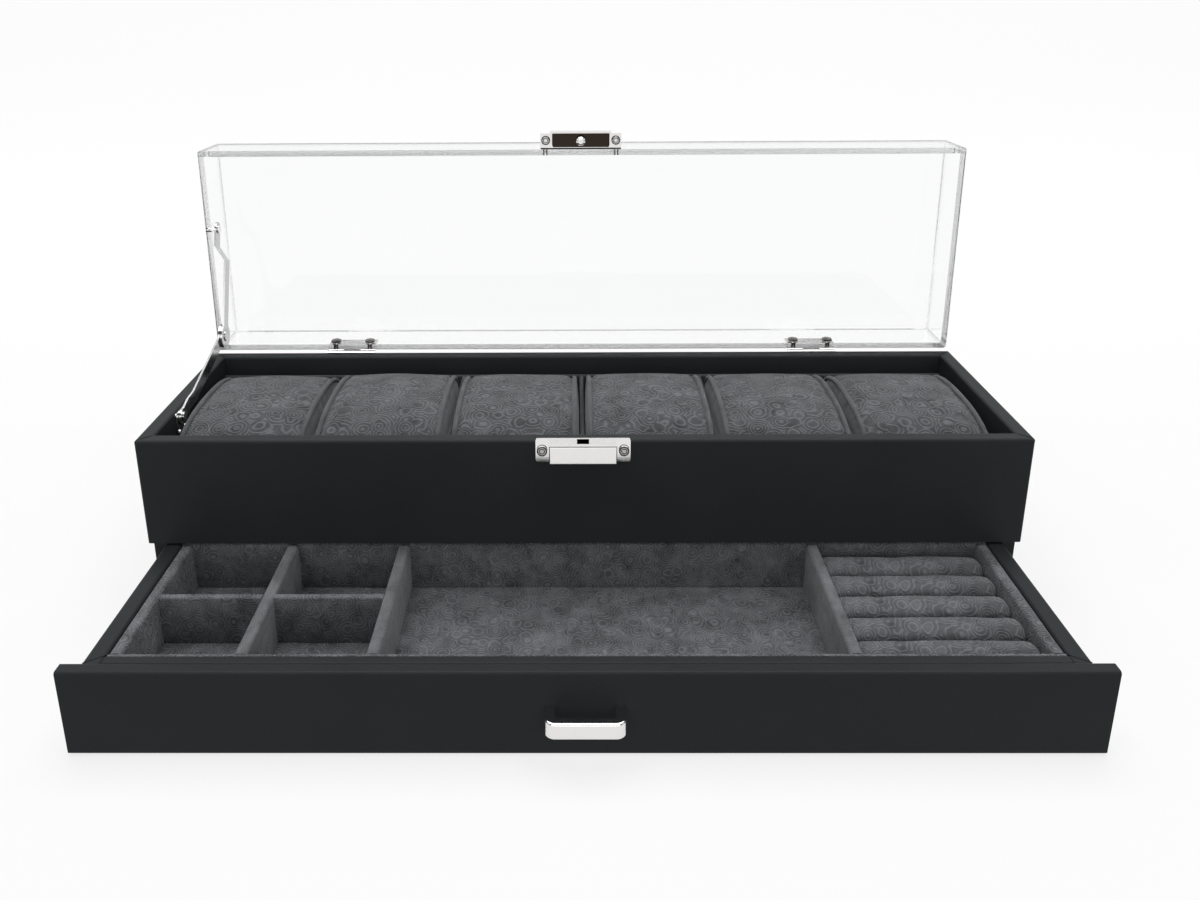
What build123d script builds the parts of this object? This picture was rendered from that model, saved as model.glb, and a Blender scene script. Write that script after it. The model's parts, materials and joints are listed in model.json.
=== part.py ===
from build123d import *
import os
from math import acos, atan2, cos, degrees, hypot, radians, sin

# Watch box with a clear lid and a drawer, in millimetres.
# Origin: centre of the underside. +X is the viewer's right, -Y is the front, +Z is up.
# The lid stands open and the drawer is pulled out, as the box is shown.

# Case
case_width = 330.0
case_depth = 90.8
case_height = 74.5
wall = 5.7
corner_radius = 1.1
rim_radius = 1.0
upper_wall_bottom = 32.0
felt_thickness = 0.8
base_thickness = 3.2
tray_floor_thickness = 3.0

# Suede insert of the upper tray
insert_drop = 8.5
insert_wall = 1.8
insert_floor_thickness = 1.5
slot_count = 6
slot_divider_thickness = 1.6

# Watch pillows
slot_end_gap = 2.4
pillow_side_gap = 6.3
pillow_gusset = 1.5
pillow_gusset_draw = 3.2
pillow_end_gap = 0.4
pillow_seam_height = 35.6
pillow_crown = 2.6
pillow_float = 0.3

# Drawer
drawer_open = 74.0
panel_thickness = 5.0
panel_bottom = 0.6
panel_top_gap = 0.5
drawer_side_gap = 0.5
drawer_under_gap = 0.3
drawer_rear_gap = 1.9
drawer_board = 6.2
drawer_front_board = 4.2
drawer_rear_board = 4.0
drawer_bottom_thickness = 3.0
drawer_board_drop = 0.5
floor_pad_thickness = 4.7
lining = 4.0
front_lining = 1.5
lining_drop = 0.5
divider_thickness = 4.2
cross_divider_thickness = 2.6
first_cell_width = 36.2
second_cell_width = 38.2
ring_field_width = 59.9
cross_divider_y = -3.0
divider_round = 1.2

# Ring field
ring_roll_count = 5
ring_roll_pitch = 12.5
ring_roll_gap = 0.3
ring_roll_end_round = 3.6
ring_roll_clearance = 0.2
ring_base_height = 5.0

# Drawer handle
handle_width = 25.6
handle_reach = 9.0
handle_bar = 2.7
handle_leg = 3.3
handle_height = 5.8
handle_centre_z = 16.8
handle_corner = 3.4
handle_screw_radius = 1.2
handle_screw_head_radius = 2.2
handle_screw_head = 1.5
handle_screw_depth = 4.5

# Lid
lid_wall = 2.5
lid_height = 22.5
lid_gap = 0.3
lid_side_inset = 0.4
lid_front_inset = 0.3
lid_edge_radius = 0.5
lid_corner_radius = 1.2
lid_open_angle = 91.0

# Hinges
hinge_inset = 61.0
hinge_length = 21.4
hinge_barrel_radius = 1.2
hinge_barrel_standoff = 0.15
hinge_drop = 1.2
hinge_pin_radius = 0.6
hinge_pin_clearance = 0.05
hinge_leaf_thickness = 0.8
hinge_leaf_height = 9.8
hinge_leaf_clearance = 0.15
hinge_middle_knuckle = 7.4
hinge_knuckle_gap = 0.15
hinge_screw_spacing = 15.4
hinge_screw_offset = 5.2
screw_radius = 1.0
screw_head_radius = 1.8
screw_head_height = 0.9
screw_clearance = 0.06
case_screw_depth = 4.6
lid_screw_stand = 1.1
nut_radius = 2.3
nut_height = 0.9

# Case latch
latch_plate_width = 34.7
latch_plate_drop = 8.1
latch_plate_top_rise = 1.0
latch_plate_thickness = 0.9
latch_housing_width = 24.6
latch_housing_reach = 5.6
latch_housing_drop = 7.0
latch_wall = 0.8
latch_screw_spacing = 30.0
latch_screw_drop = 3.6
latch_slot_width = 4.4
latch_slot_length = 4.1
latch_pad_thickness = 1.0
latch_pad_gap = 0.2
latch_travel = 1.0
latch_stem_width = 16.0
latch_stem_height = 3.7
spring_radius = 1.0
spring_wire = 0.17
spring_pitch = 0.9
spring_turns = 2.0
spring_pocket_radius = 1.4
spring_clearance = 0.1

# Lid latch
stud_y_from_wall = 3.05
stud_radius = 1.9
stud_neck_radius = 1.2
stud_head_height = 1.5
stud_tip_clearance = 0.1
lid_latch_reach = 7.5
lid_latch_rise = 1.0
lid_latch_depth = 3.0
lid_latch_wall = 0.8
lid_latch_recess_width = 24.6
lid_latch_leg_height = 9.0
lid_latch_screw_x = 15.3
lid_latch_screw_rise = 4.7
lid_latch_ear_screw_radius = 0.8
lid_latch_ear_head_radius = 1.5

# Lid stay, at the left end
arm_thickness = 0.8
arm_gap = 0.2
arm_width = 5.2
arm_eye_radius = 3.1
knee_radius = 5.2
stay_pivot_radius = 0.9
stay_pivot_clearance = 0.06
stay_head_radius = 1.9
stay_head_height = 0.45
bracket_thickness = 0.4
lower_joggle = 0.8
lower_joggle_start = 8.0
lower_joggle_end = 12.0
upper_joggle_start = 7.5
upper_joggle_end = 14.0
lower_pivot_along = 61.25
lower_pivot_drop = 3.9
lid_pin_along = 56.6
lid_pin_depth = 5.8
lid_pin_boss = 0.6
lid_pin_boss_radius = 1.5
knee_clearance = 0.4
knee_lift = 1.6
knee_cap_radius = 2.4
knee_cap_height = 0.4
bracket_half_width = 5.5
bracket_rise = 3.0
bracket_drop = 7.6
bracket_screw_spacing = 6.0
bracket_screw_drop = 5.6
bracket_screw_radius = 0.7
bracket_screw_head_radius = 1.2
bracket_screw_head = 0.4
bracket_screw_depth = 3.0

# Places worked out from the sizes above
half_width = case_width / 2
half_depth = case_depth / 2
inner_x = half_width - wall
inner_y = half_depth - wall
tray_floor_top = upper_wall_bottom + tray_floor_thickness
insert_floor_top = tray_floor_top + insert_floor_thickness
insert_inner_y = inner_y - insert_wall
hinge_y = half_depth + hinge_barrel_radius + hinge_barrel_standoff
hinge_z = case_height + lid_gap / 2 - hinge_drop
lid_bottom = case_height + lid_gap
lid_top = lid_bottom + lid_height
lid_half_width = half_width - lid_side_inset
lid_front_y = -half_depth + lid_front_inset
insert_top = case_height - insert_drop
pillow_pitch = (2 * inner_x - 2 * slot_end_gap) / slot_count
pillow_seam_width = pillow_pitch - pillow_side_gap
hinge_x = half_width - hinge_inset
latch_plate_bottom = case_height - latch_plate_drop
latch_housing_bottom = case_height - latch_housing_drop
latch_screw_z = case_height - latch_screw_drop
lower_pivot_y = hinge_y - lower_pivot_along
lower_pivot_z = case_height - lower_pivot_drop
closed_knee_y = half_depth - lid_wall - knee_radius - knee_clearance
closed_knee_z = case_height + knee_radius + knee_clearance + knee_lift


def block(x, y, z):
    """A box between pairs of coordinates."""
    size = (x[1] - x[0], y[1] - y[0], z[1] - z[0])
    middle = ((x[0] + x[1]) / 2, (y[0] + y[1]) / 2, (z[0] + z[1]) / 2)
    return Pos(*middle) * Box(*size)


def prism(points, z):
    """An outline in plan, extruded from z[0] to z[1]."""
    return Pos(0, 0, z[0]) * extrude(make_face(Polyline(*points, close=True)), z[1] - z[0])


def rod(start, direction, radius, length):
    """A round rod from start, along a unit direction."""
    plane = Plane(origin=start, z_dir=direction)
    return plane * Cylinder(radius, length, align=(Align.CENTER, Align.CENTER, Align.MIN))


def nut(start, direction, radius, height):
    """A hexagonal nut, standing on start."""
    return Plane(origin=start, z_dir=direction) * extrude(RegularPolygon(radius, 6), height)


def screw(start, direction, shank_length):
    """A pan-head screw: its head outside start, its shank along direction."""
    back = tuple(-value for value in direction)
    head = rod(start, back, screw_head_radius, screw_head_height)
    rim = head.edges().sort_by(lambda edge: (edge.center() - Vector(*start)).dot(Vector(*back)))[-1]
    head = fillet(rim, screw_head_height * 0.5)
    return head + rod(start, direction, screw_radius, shank_length)


def top_edges(solid, z):
    """The edges of a solid that lie at one height."""
    return solid.edges().filter_by_position(Axis.Z, z - 0.001, z + 0.001)


def board(x, y, z, radius):
    """A covered board whose long top edges are rounded."""
    solid = block(x, y, z)
    along = Axis.X if x[1] - x[0] > y[1] - y[0] else Axis.Y
    return fillet(top_edges(solid, z[1]).filter_by(along), radius)


def opened(shape):
    """Turn a piece of the closed lid to the open pose."""
    return shape.rotate(Axis((0, hinge_y, hinge_z), (1, 0, 0)), -lid_open_angle)


def pulled(shape):
    """Move a piece of the closed drawer to the open pose."""
    return Pos(0, -drawer_open, 0) * shape


parts = {}

# Case walls, cut from one rounded shell along mitres
shell = extrude(RectangleRounded(case_width, case_depth, corner_radius), case_height)
shell = fillet(top_edges(shell, case_height), rim_radius)
shell -= block((-inner_x, inner_x), (-inner_y, inner_y), (-1, case_height + 1))
rim_inner = top_edges(shell, case_height).filter_by(
    lambda edge: abs(edge.center().X) < inner_x + 0.01 and abs(edge.center().Y) < inner_y + 0.01)
shell = fillet(rim_inner, rim_radius)
out = 1.0
corner = (half_width + out, half_depth + out)
front_plan = [(-corner[0], -corner[1]), (corner[0], -corner[1]), (inner_x, -inner_y), (-inner_x, -inner_y)]
rear_plan = [(x, -y) for x, y in front_plan]
left_plan = [(-corner[0], -corner[1]), (-inner_x, -inner_y), (-inner_x, inner_y), (-corner[0], corner[1])]
right_plan = [(-x, y) for x, y in left_plan]
full_height = (-out, case_height + out)
notch = block((-corner[0], corner[0]), (-corner[1], -half_depth + panel_thickness), (-out, upper_wall_bottom))

front_wall = shell & prism(front_plan, (upper_wall_bottom, case_height + out))
rear_wall = shell & prism(rear_plan, full_height)
side_left = (shell & prism(left_plan, full_height)) - notch
side_right = (shell & prism(right_plan, full_height)) - notch

inside = ((-inner_x, inner_x), (-inner_y, inner_y))
parts["base_felt"] = block((-inner_x, inner_x), (-half_depth + panel_thickness, inner_y), (0, felt_thickness))
base_top = felt_thickness + base_thickness
parts["base_board"] = block((-inner_x, inner_x), (-half_depth + panel_thickness, inner_y),
                            (felt_thickness, base_top))
parts["tray_floor"] = block(*inside, (upper_wall_bottom, tray_floor_top))

# Suede insert
insert_x = (-inner_x, inner_x)
parts["insert_floor"] = block(insert_x, (-inner_y, inner_y), (tray_floor_top, insert_floor_top))
insert_z = (insert_floor_top, insert_top)
parts["insert_front_wall"] = board(insert_x, (-inner_y, -insert_inner_y), insert_z, insert_wall * 0.4)
parts["insert_rear_wall"] = board(insert_x, (insert_inner_y, inner_y), insert_z, insert_wall * 0.4)
divider_xs = [(index - slot_count / 2) * pillow_pitch for index in range(1, slot_count)]
half_divider = slot_divider_thickness / 2
parts["slot_dividers"] = Compound(children=[
    board((x - half_divider, x + half_divider), (-insert_inner_y, insert_inner_y), insert_z, half_divider * 0.8)
    for x in divider_xs])


def pillow_outline(x, half_length, height, lift):
    """The side outline of a pillow, in the plane across it at x: arched top, round shoulders, flat bed."""
    shoulder = half_length * 0.26
    shoulder_drop = height * 0.30
    foot = half_length * 0.24
    bow = height * 0.07
    top = lift + height
    flat_y = half_length - shoulder
    side_top = top - bow - shoulder_drop
    side_bottom = lift + height * 0.26
    diagonal = 0.707
    outline = [
        Line((-half_length + foot, lift), (half_length - foot, lift)),
        ThreePointArc((half_length - foot, lift),
                      (half_length - foot * (1 - diagonal), side_bottom - (side_bottom - lift) * diagonal),
                      (half_length, side_bottom)),
        Line((half_length, side_bottom), (half_length, side_top)),
        ThreePointArc((half_length, side_top),
                      (half_length - shoulder * (1 - diagonal), side_top + shoulder_drop * diagonal),
                      (flat_y, top - bow)),
        ThreePointArc((flat_y, top - bow), (0, top), (-flat_y, top - bow)),
        ThreePointArc((-flat_y, top - bow),
                      (-half_length + shoulder * (1 - diagonal), side_top + shoulder_drop * diagonal),
                      (-half_length, side_top)),
        Line((-half_length, side_top), (-half_length, side_bottom)),
        ThreePointArc((-half_length, side_bottom),
                      (-half_length + foot * (1 - diagonal), side_bottom - (side_bottom - lift) * diagonal),
                      (-half_length + foot, lift)),
    ]
    plane = Plane(origin=(x, 0, 0), x_dir=(0, 1, 0), z_dir=(1, 0, 0))
    return plane * make_face(outline)


def pillow(x):
    """One watch pillow: a crowned band between two seams, and a gusset at each end."""
    half_band = pillow_seam_width / 2
    half_length = insert_inner_y - pillow_end_gap
    drawn = half_length - pillow_gusset_draw
    band = loft([
        pillow_outline(-half_band, half_length, pillow_seam_height, 0),
        pillow_outline(0, half_length, pillow_seam_height + pillow_crown, 0),
        pillow_outline(half_band, half_length, pillow_seam_height, 0)])
    solid = band
    for side in (-1, 1):
        seam = pillow_outline(side * half_band, half_length, pillow_seam_height, 0)
        end = pillow_outline(side * (half_band + pillow_gusset), drawn,
                             pillow_seam_height - 2 * pillow_gusset_draw, pillow_gusset_draw)
        solid += loft([seam, end] if side > 0 else [end, seam], ruled=True)
    return Pos(x, 0, insert_floor_top + pillow_float) * solid


for index in range(slot_count):
    parts[f"pillow_{index + 1}"] = pillow((index - (slot_count - 1) / 2) * pillow_pitch)

# Hinges: one leaf on the case and one on the lid, three knuckles on one pin
lid_parts = {}
case_screws = []
lid_screws = []
lid_nuts = []
pins = []
leaf_root = hinge_barrel_radius + hinge_leaf_clearance
leaf_y = (half_depth, half_depth + hinge_leaf_thickness)
lid_shell_holes = []


def knuckle(x0, x1, up):
    """A knuckle with the web that joins it to its leaf, above or below the axis."""
    barrel = rod((x0, hinge_y, hinge_z), (1, 0, 0), hinge_barrel_radius, x1 - x0)
    reach = (hinge_z, hinge_z + leaf_root) if up else (hinge_z - leaf_root, hinge_z)
    return barrel + block((x0, x1), leaf_y, reach)


for side, sign in (("left", -1), ("right", 1)):
    centre = sign * hinge_x
    ends = (centre - hinge_length / 2, centre + hinge_length / 2)
    half_knuckle = hinge_middle_knuckle / 2
    middle = (centre - half_knuckle, centre + half_knuckle)
    bore_start = (ends[0] - 1, hinge_y, hinge_z)
    tight_bore = rod(bore_start, (1, 0, 0), hinge_pin_radius, hinge_length + 2)
    running_bore = rod(bore_start, (1, 0, 0), hinge_pin_radius + hinge_pin_clearance, hinge_length + 2)
    case_leaf = block(ends, leaf_y, (hinge_z - hinge_leaf_height, hinge_z - leaf_root))
    case_leaf += knuckle(ends[0], middle[0] - hinge_knuckle_gap, False)
    case_leaf += knuckle(middle[1] + hinge_knuckle_gap, ends[1], False)
    lid_leaf = block(ends, leaf_y, (hinge_z + leaf_root, hinge_z + hinge_leaf_height))
    lid_leaf += knuckle(middle[0], middle[1], True)
    for dx in (-hinge_screw_spacing / 2, hinge_screw_spacing / 2):
        low = (centre + dx, leaf_y[1], hinge_z - hinge_screw_offset)
        high = (centre + dx, leaf_y[1], hinge_z + hinge_screw_offset)
        case_screws.append(screw(low, (0, -1, 0), hinge_leaf_thickness + case_screw_depth))
        case_hole = rod(low, (0, -1, 0), screw_radius + screw_clearance,
                        hinge_leaf_thickness + case_screw_depth + screw_clearance)
        case_leaf -= case_hole
        rear_wall -= case_hole
        lid_screws.append(screw(high, (0, -1, 0), hinge_leaf_thickness + lid_wall + lid_screw_stand))
        lid_hole = rod(high, (0, -1, 0), screw_radius + screw_clearance,
                       hinge_leaf_thickness + lid_wall + lid_screw_stand)
        lid_leaf -= lid_hole
        lid_shell_holes.append(lid_hole)
        inner_face = (centre + dx, half_depth - lid_wall, hinge_z + hinge_screw_offset)
        lid_nuts.append(nut(inner_face, (0, -1, 0), nut_radius, nut_height) - lid_hole)
    parts[f"hinge_case_leaf_{side}"] = case_leaf - tight_bore
    lid_parts[f"hinge_lid_leaf_{side}"] = lid_leaf - running_bore
    pins.append(rod((ends[0], hinge_y, hinge_z), (1, 0, 0), hinge_pin_radius, hinge_length))
parts["hinge_pins"] = Compound(children=pins)

# Case latch: eared plate, open-fronted housing and sprung push pad
plate_top = case_height + latch_plate_top_rise
plate_y = (-half_depth - latch_plate_thickness, -half_depth)
half_plate = latch_plate_width / 2
half_housing = latch_housing_width / 2
pad_front = -half_depth - latch_housing_reach
pad_back = pad_front + latch_pad_thickness
housing_front = pad_back + latch_travel + latch_pad_gap
plate = block((-half_plate, half_plate), plate_y, (latch_plate_bottom, plate_top))
plate = fillet(plate.edges().filter_by(Axis.Y), latch_wall)
plate += block((-half_housing, half_housing), (housing_front, plate_y[0]), (latch_housing_bottom, plate_top))
plate += block((-half_housing, half_housing), (pad_front, plate_y[0]), (plate_top - latch_wall, plate_top))
plate -= block((-half_housing + latch_wall, half_housing - latch_wall), (housing_front, plate_y[0]),
               (latch_housing_bottom + latch_wall, plate_top - latch_wall))
stud_y = -half_depth - stud_y_from_wall
half_slot = latch_slot_width / 2
slot_y = (stud_y - latch_slot_length / 2, stud_y + latch_slot_length / 2)
plate -= block((-half_slot, half_slot), slot_y, (plate_top - latch_wall - 1, plate_top + 1))
for sign in (-1, 1):
    spot = (sign * latch_screw_spacing / 2, plate_y[0], latch_screw_z)
    case_screws.append(screw(spot, (0, 1, 0), latch_plate_thickness + case_screw_depth))
    hole = rod(spot, (0, 1, 0), screw_radius + screw_clearance,
               latch_plate_thickness + case_screw_depth + screw_clearance)
    plate -= hole
    front_wall -= hole
parts["latch_plate"] = plate

pad_top = plate_top - latch_wall - latch_pad_gap
pad = block((-half_housing, half_housing), (pad_front, pad_back), (latch_housing_bottom, pad_top))
pad = fillet(pad.edges().filter_by_position(Axis.Y, pad_front - 0.01, pad_front + 0.01), latch_pad_thickness * 0.4)
stem_bottom = latch_housing_bottom + latch_wall + latch_pad_gap + 0.4
stem_z = (stem_bottom, stem_bottom + latch_stem_height)
stem_back = plate_y[0] - latch_travel - latch_pad_gap
half_stem = latch_stem_width / 2
pad += block((-half_stem, half_stem), (pad_back, stem_back), stem_z)
spring_z = (stem_z[0] + stem_z[1]) / 2
spring_length = spring_pitch * spring_turns
pocket_depth = spring_length + 2 * spring_wire + spring_clearance - latch_pad_gap
pad -= rod((0, stem_back, spring_z), (0, -1, 0), spring_pocket_radius, pocket_depth)
parts["latch_pad"] = pad

coil_path = Helix(spring_pitch, spring_length, spring_radius)
coil = sweep(Plane(origin=coil_path @ 0, z_dir=coil_path % 0) * Circle(spring_wire), path=coil_path)
spring_seat = Plane(origin=(0, plate_y[0] - spring_wire, spring_z), z_dir=(0, -1, 0))
parts["latch_spring"] = spring_seat * coil

# Lid: top panel and four walls of clear sheet, cut from one rounded shell
lid_y = (lid_front_y, half_depth)
lid_depth = lid_y[1] - lid_y[0]
lid_centre_y = (lid_y[0] + lid_y[1]) / 2
lid_shell = Pos(0, lid_centre_y, lid_bottom) * extrude(
    RectangleRounded(2 * lid_half_width, lid_depth, lid_corner_radius), lid_height)
lid_shell = fillet(top_edges(lid_shell, lid_top), lid_edge_radius)
lid_panel_z = (lid_top - lid_wall, lid_top + out)
lid_wall_z = (lid_bottom - out, lid_top - lid_wall)
wide = (-lid_half_width - out, lid_half_width + out)
lid_inner_y = (lid_y[0] + lid_wall, lid_y[1] - lid_wall)
lid_inner_x = lid_half_width - lid_wall
stay_pin_y = hinge_y - lid_pin_along
stay_pin_z = hinge_z + lid_pin_depth
stay_pin_hole = rod((-lid_half_width - out, stay_pin_y, stay_pin_z), (1, 0, 0),
                    stay_pivot_radius + stay_pivot_clearance, lid_wall + 2 * out)
lid_parts["lid_top_panel"] = lid_shell & block(wide, (lid_y[0] - out, lid_y[1] + out), lid_panel_z)
lid_front = lid_shell & block(wide, (lid_y[0] - out, lid_inner_y[0]), lid_wall_z)
lid_rear = lid_shell & block(wide, (lid_inner_y[1], lid_y[1] + out), lid_wall_z)
for hole in lid_shell_holes:
    lid_rear -= hole
lid_parts["lid_rear_wall"] = lid_rear
lid_parts["lid_side_left"] = (lid_shell & block((wide[0], -lid_inner_x), lid_inner_y, lid_wall_z)) - stay_pin_hole
lid_parts["lid_side_right"] = lid_shell & block((lid_inner_x, wide[1]), lid_inner_y, lid_wall_z)

# Lid latch: a hollow housing with ears, on a leg against the front wall, with the stud inside
housing_bottom = lid_bottom + lid_latch_rise
housing_ceiling = housing_bottom + lid_latch_depth
half_recess = lid_latch_recess_width / 2
box_half = half_recess + lid_latch_wall
leg_y = (lid_y[0] - lid_latch_wall, lid_y[0])
lid_latch_front = lid_y[0] - lid_latch_reach
lid_latch = block((-half_plate, half_plate), leg_y, (housing_bottom, housing_bottom + lid_latch_leg_height))
lid_latch += block((-half_plate, half_plate), (lid_latch_front + lid_latch_wall, leg_y[0]),
                   (housing_bottom, housing_bottom + lid_latch_wall))
lid_latch += block((-box_half, box_half), (lid_latch_front, leg_y[0]),
                   (housing_bottom, housing_ceiling + lid_latch_wall))
lid_latch -= block((-half_recess, half_recess), (lid_latch_front + lid_latch_wall, leg_y[0]),
                   (housing_bottom - out, housing_ceiling))
latch_fasteners = []
ear_y = (lid_latch_front + lid_latch_wall + leg_y[0]) / 2
leg_screw_z = housing_bottom + lid_latch_screw_rise
for sign in (-1, 1):
    spot = (sign * lid_latch_screw_x, leg_y[0], leg_screw_z)
    latch_fasteners.append(screw(spot, (0, 1, 0), lid_latch_wall + lid_wall))
    hole = rod(spot, (0, 1, 0), screw_radius + screw_clearance, lid_latch_wall + lid_wall + out)
    lid_latch -= hole
    lid_front -= hole
    ear = (sign * latch_screw_spacing / 2, ear_y, housing_bottom)
    rivet = rod(ear, (0, 0, 1), lid_latch_ear_screw_radius, lid_latch_wall * 2)
    rivet += rod(ear, (0, 0, -1), lid_latch_ear_head_radius, lid_latch_wall * 0.7)
    rivet += Pos(0, 0, lid_latch_wall) * rod(ear, (0, 0, 1), lid_latch_ear_head_radius * 0.8, lid_latch_wall)
    latch_fasteners.append(rivet)
    lid_latch -= rod(ear, (0, 0, 1), lid_latch_ear_screw_radius + screw_clearance, lid_latch_wall)
lid_parts["lid_front_wall"] = lid_front
lid_parts["lid_latch_housing"] = lid_latch
lid_parts["lid_latch_fasteners"] = Compound(children=latch_fasteners)

stud_reach = housing_ceiling - pad_top - stud_tip_clearance
stud_outline = Polyline((0, 0), (stud_neck_radius, 0), (stud_neck_radius, -stud_reach + stud_head_height),
                        (stud_radius, -stud_reach + stud_head_height * 0.8),
                        (stud_radius, -stud_reach + stud_head_height * 0.4),
                        (stud_radius * 0.6, -stud_reach), (0, -stud_reach), close=True)
stud = revolve(Plane.XZ * make_face(stud_outline), Axis.Z)
lid_parts["lid_latch_stud"] = Pos(0, stud_y, housing_ceiling) * stud

# Lid stay
lower_pivot_x = -inner_x + bracket_thickness + arm_gap / 2
lower_plane_x = lower_pivot_x + lower_joggle
upper_plane_x = lower_plane_x + arm_thickness + arm_gap
upper_eye_x = -lid_inner_x + lid_pin_boss + arm_gap / 2
upper_joggle = upper_plane_x - upper_eye_x
lower_pivot = (lower_pivot_y, lower_pivot_z)
closed_knee = (closed_knee_y, closed_knee_z)
closed_lid_pin = (stay_pin_y, stay_pin_z)
lower_length = hypot(closed_knee[0] - lower_pivot[0], closed_knee[1] - lower_pivot[1])
upper_length = hypot(closed_knee[0] - closed_lid_pin[0], closed_knee[1] - closed_lid_pin[1])
lid_turn = radians(lid_open_angle)
pin_reach = (stay_pin_y - hinge_y, stay_pin_z - hinge_z)
lid_pin = (hinge_y + pin_reach[0] * cos(lid_turn) + pin_reach[1] * sin(lid_turn),
           hinge_z - pin_reach[0] * sin(lid_turn) + pin_reach[1] * cos(lid_turn))


def knee_between(low, high):
    """Where the two arms meet, on the hinge side of the line from the lower pivot to the lid pin."""
    reach = (high[0] - low[0], high[1] - low[1])
    distance = hypot(*reach)
    bend = acos((lower_length ** 2 + distance ** 2 - upper_length ** 2) / (2 * lower_length * distance))
    angle = atan2(reach[1], reach[0]) - bend
    return (low[0] + lower_length * cos(angle), low[1] + lower_length * sin(angle))


knee = knee_between(lower_pivot, lid_pin)


def arm(start, end, eye_x, joggle, joggle_start, joggle_end):
    """A flat strip from a pivot to the knee, with an eye, a joggle along +X and half of the knee disc."""
    length = hypot(end[0] - start[0], end[1] - start[1])
    direction = ((end[0] - start[0]) / length, (end[1] - start[1]) / length)
    outline = Circle(arm_eye_radius) + Pos(length / 2, 0) * Rectangle(length, arm_width)
    outline += Pos(length, 0) * Circle(knee_radius)
    outline -= Circle(stay_pivot_radius + stay_pivot_clearance)
    blank = Pos(0, 0, -out) * extrude(outline, joggle + arm_thickness + 2 * out)
    ends = (-arm_eye_radius - out, length + knee_radius + out)
    edge = [(ends[0], 0), (joggle_start, 0), (joggle_end, joggle), (ends[1], joggle)]
    back = [(u, w + arm_thickness) for u, w in reversed(edge)]
    strip = make_face(Polyline(*[(u, 0, w) for u, w in edge + back], close=True))
    bent = extrude(strip, knee_radius + out, dir=(0, 1, 0), both=True)
    plane = Plane(origin=(eye_x, start[0], start[1]), x_dir=(0, direction[0], direction[1]), z_dir=(1, 0, 0))
    return plane * (blank & bent)


lower_arm = arm(lower_pivot, knee, lower_pivot_x, lower_joggle, lower_joggle_start, lower_joggle_end)
upper_arm = arm(lid_pin, knee, upper_eye_x, upper_joggle, upper_joggle_start, upper_joggle_end)
cap = rod((upper_plane_x + arm_thickness, *knee), (1, 0, 0), knee_cap_radius, knee_cap_height)
cap = fillet(cap.edges().sort_by(Axis.X)[-1], knee_cap_height * 0.7)
parts["stay_lower_arm"] = lower_arm
parts["stay_upper_arm"] = upper_arm + cap

bracket_x = (-inner_x, -inner_x + bracket_thickness)
bracket = block(bracket_x, (lower_pivot_y - bracket_half_width, lower_pivot_y + bracket_half_width),
                (lower_pivot_z - bracket_drop, lower_pivot_z + bracket_rise))
bracket = fillet(bracket.edges().filter_by(Axis.X), rim_radius)
pivot_reach = bracket_thickness + arm_thickness + arm_gap
bracket += rod((-inner_x, *lower_pivot), (1, 0, 0), stay_pivot_radius, pivot_reach)
bracket += rod((-inner_x + pivot_reach, *lower_pivot), (1, 0, 0), stay_head_radius, stay_head_height)
bracket_screws = []
for sign in (-1, 1):
    spot = (bracket_x[1], lower_pivot_y + sign * bracket_screw_spacing / 2, lower_pivot_z - bracket_screw_drop)
    depth = bracket_thickness + bracket_screw_depth
    bracket_screws.append(rod(spot, (-1, 0, 0), bracket_screw_radius, depth)
                          + rod(spot, (1, 0, 0), bracket_screw_head_radius, bracket_screw_head))
    hole = rod(spot, (-1, 0, 0), bracket_screw_radius + screw_clearance, depth + screw_clearance)
    bracket -= hole
    side_left -= hole
parts["stay_bracket"] = bracket
parts["stay_bracket_screws"] = Compound(children=bracket_screws)

pin_head_x = upper_eye_x + arm_thickness + arm_gap / 2
pin = rod((-lid_half_width, *closed_lid_pin), (1, 0, 0), stay_pivot_radius, pin_head_x + lid_half_width)
pin += rod((-lid_inner_x, *closed_lid_pin), (1, 0, 0), lid_pin_boss_radius, lid_pin_boss)
pin += rod((pin_head_x, *closed_lid_pin), (1, 0, 0), stay_head_radius, stay_head_height)
lid_parts["stay_lid_pin"] = pin

parts["case_front_wall"] = front_wall
parts["case_rear_wall"] = rear_wall
parts["case_side_left"] = side_left
parts["case_side_right"] = side_right
parts["case_screws"] = Compound(children=case_screws)
lid_parts["hinge_lid_screws"] = Compound(children=lid_screws)
lid_parts["hinge_lid_nuts"] = Compound(children=lid_nuts)

# Drawer, modelled closed
drawer_parts = {}
panel_y = (-half_depth, -half_depth + panel_thickness)
panel_top = upper_wall_bottom - panel_top_gap
drawer_x = inner_x - drawer_side_gap
board_inner_x = drawer_x - drawer_board
drawer_rear = inner_y - drawer_rear_gap
board_z = (base_top + drawer_under_gap, panel_top - drawer_board_drop)
bottom_top = board_z[0] + drawer_bottom_thickness
pad_top_z = bottom_top + floor_pad_thickness
lining_z = (pad_top_z, board_z[1] - lining_drop)
front_board_y = (panel_y[1], panel_y[1] + drawer_front_board)
rear_board_y = (drawer_rear - drawer_rear_board, drawer_rear)
inner_front_y = front_board_y[1] + front_lining
inner_rear_y = rear_board_y[0] - lining
lined_x = board_inner_x - lining

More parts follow.
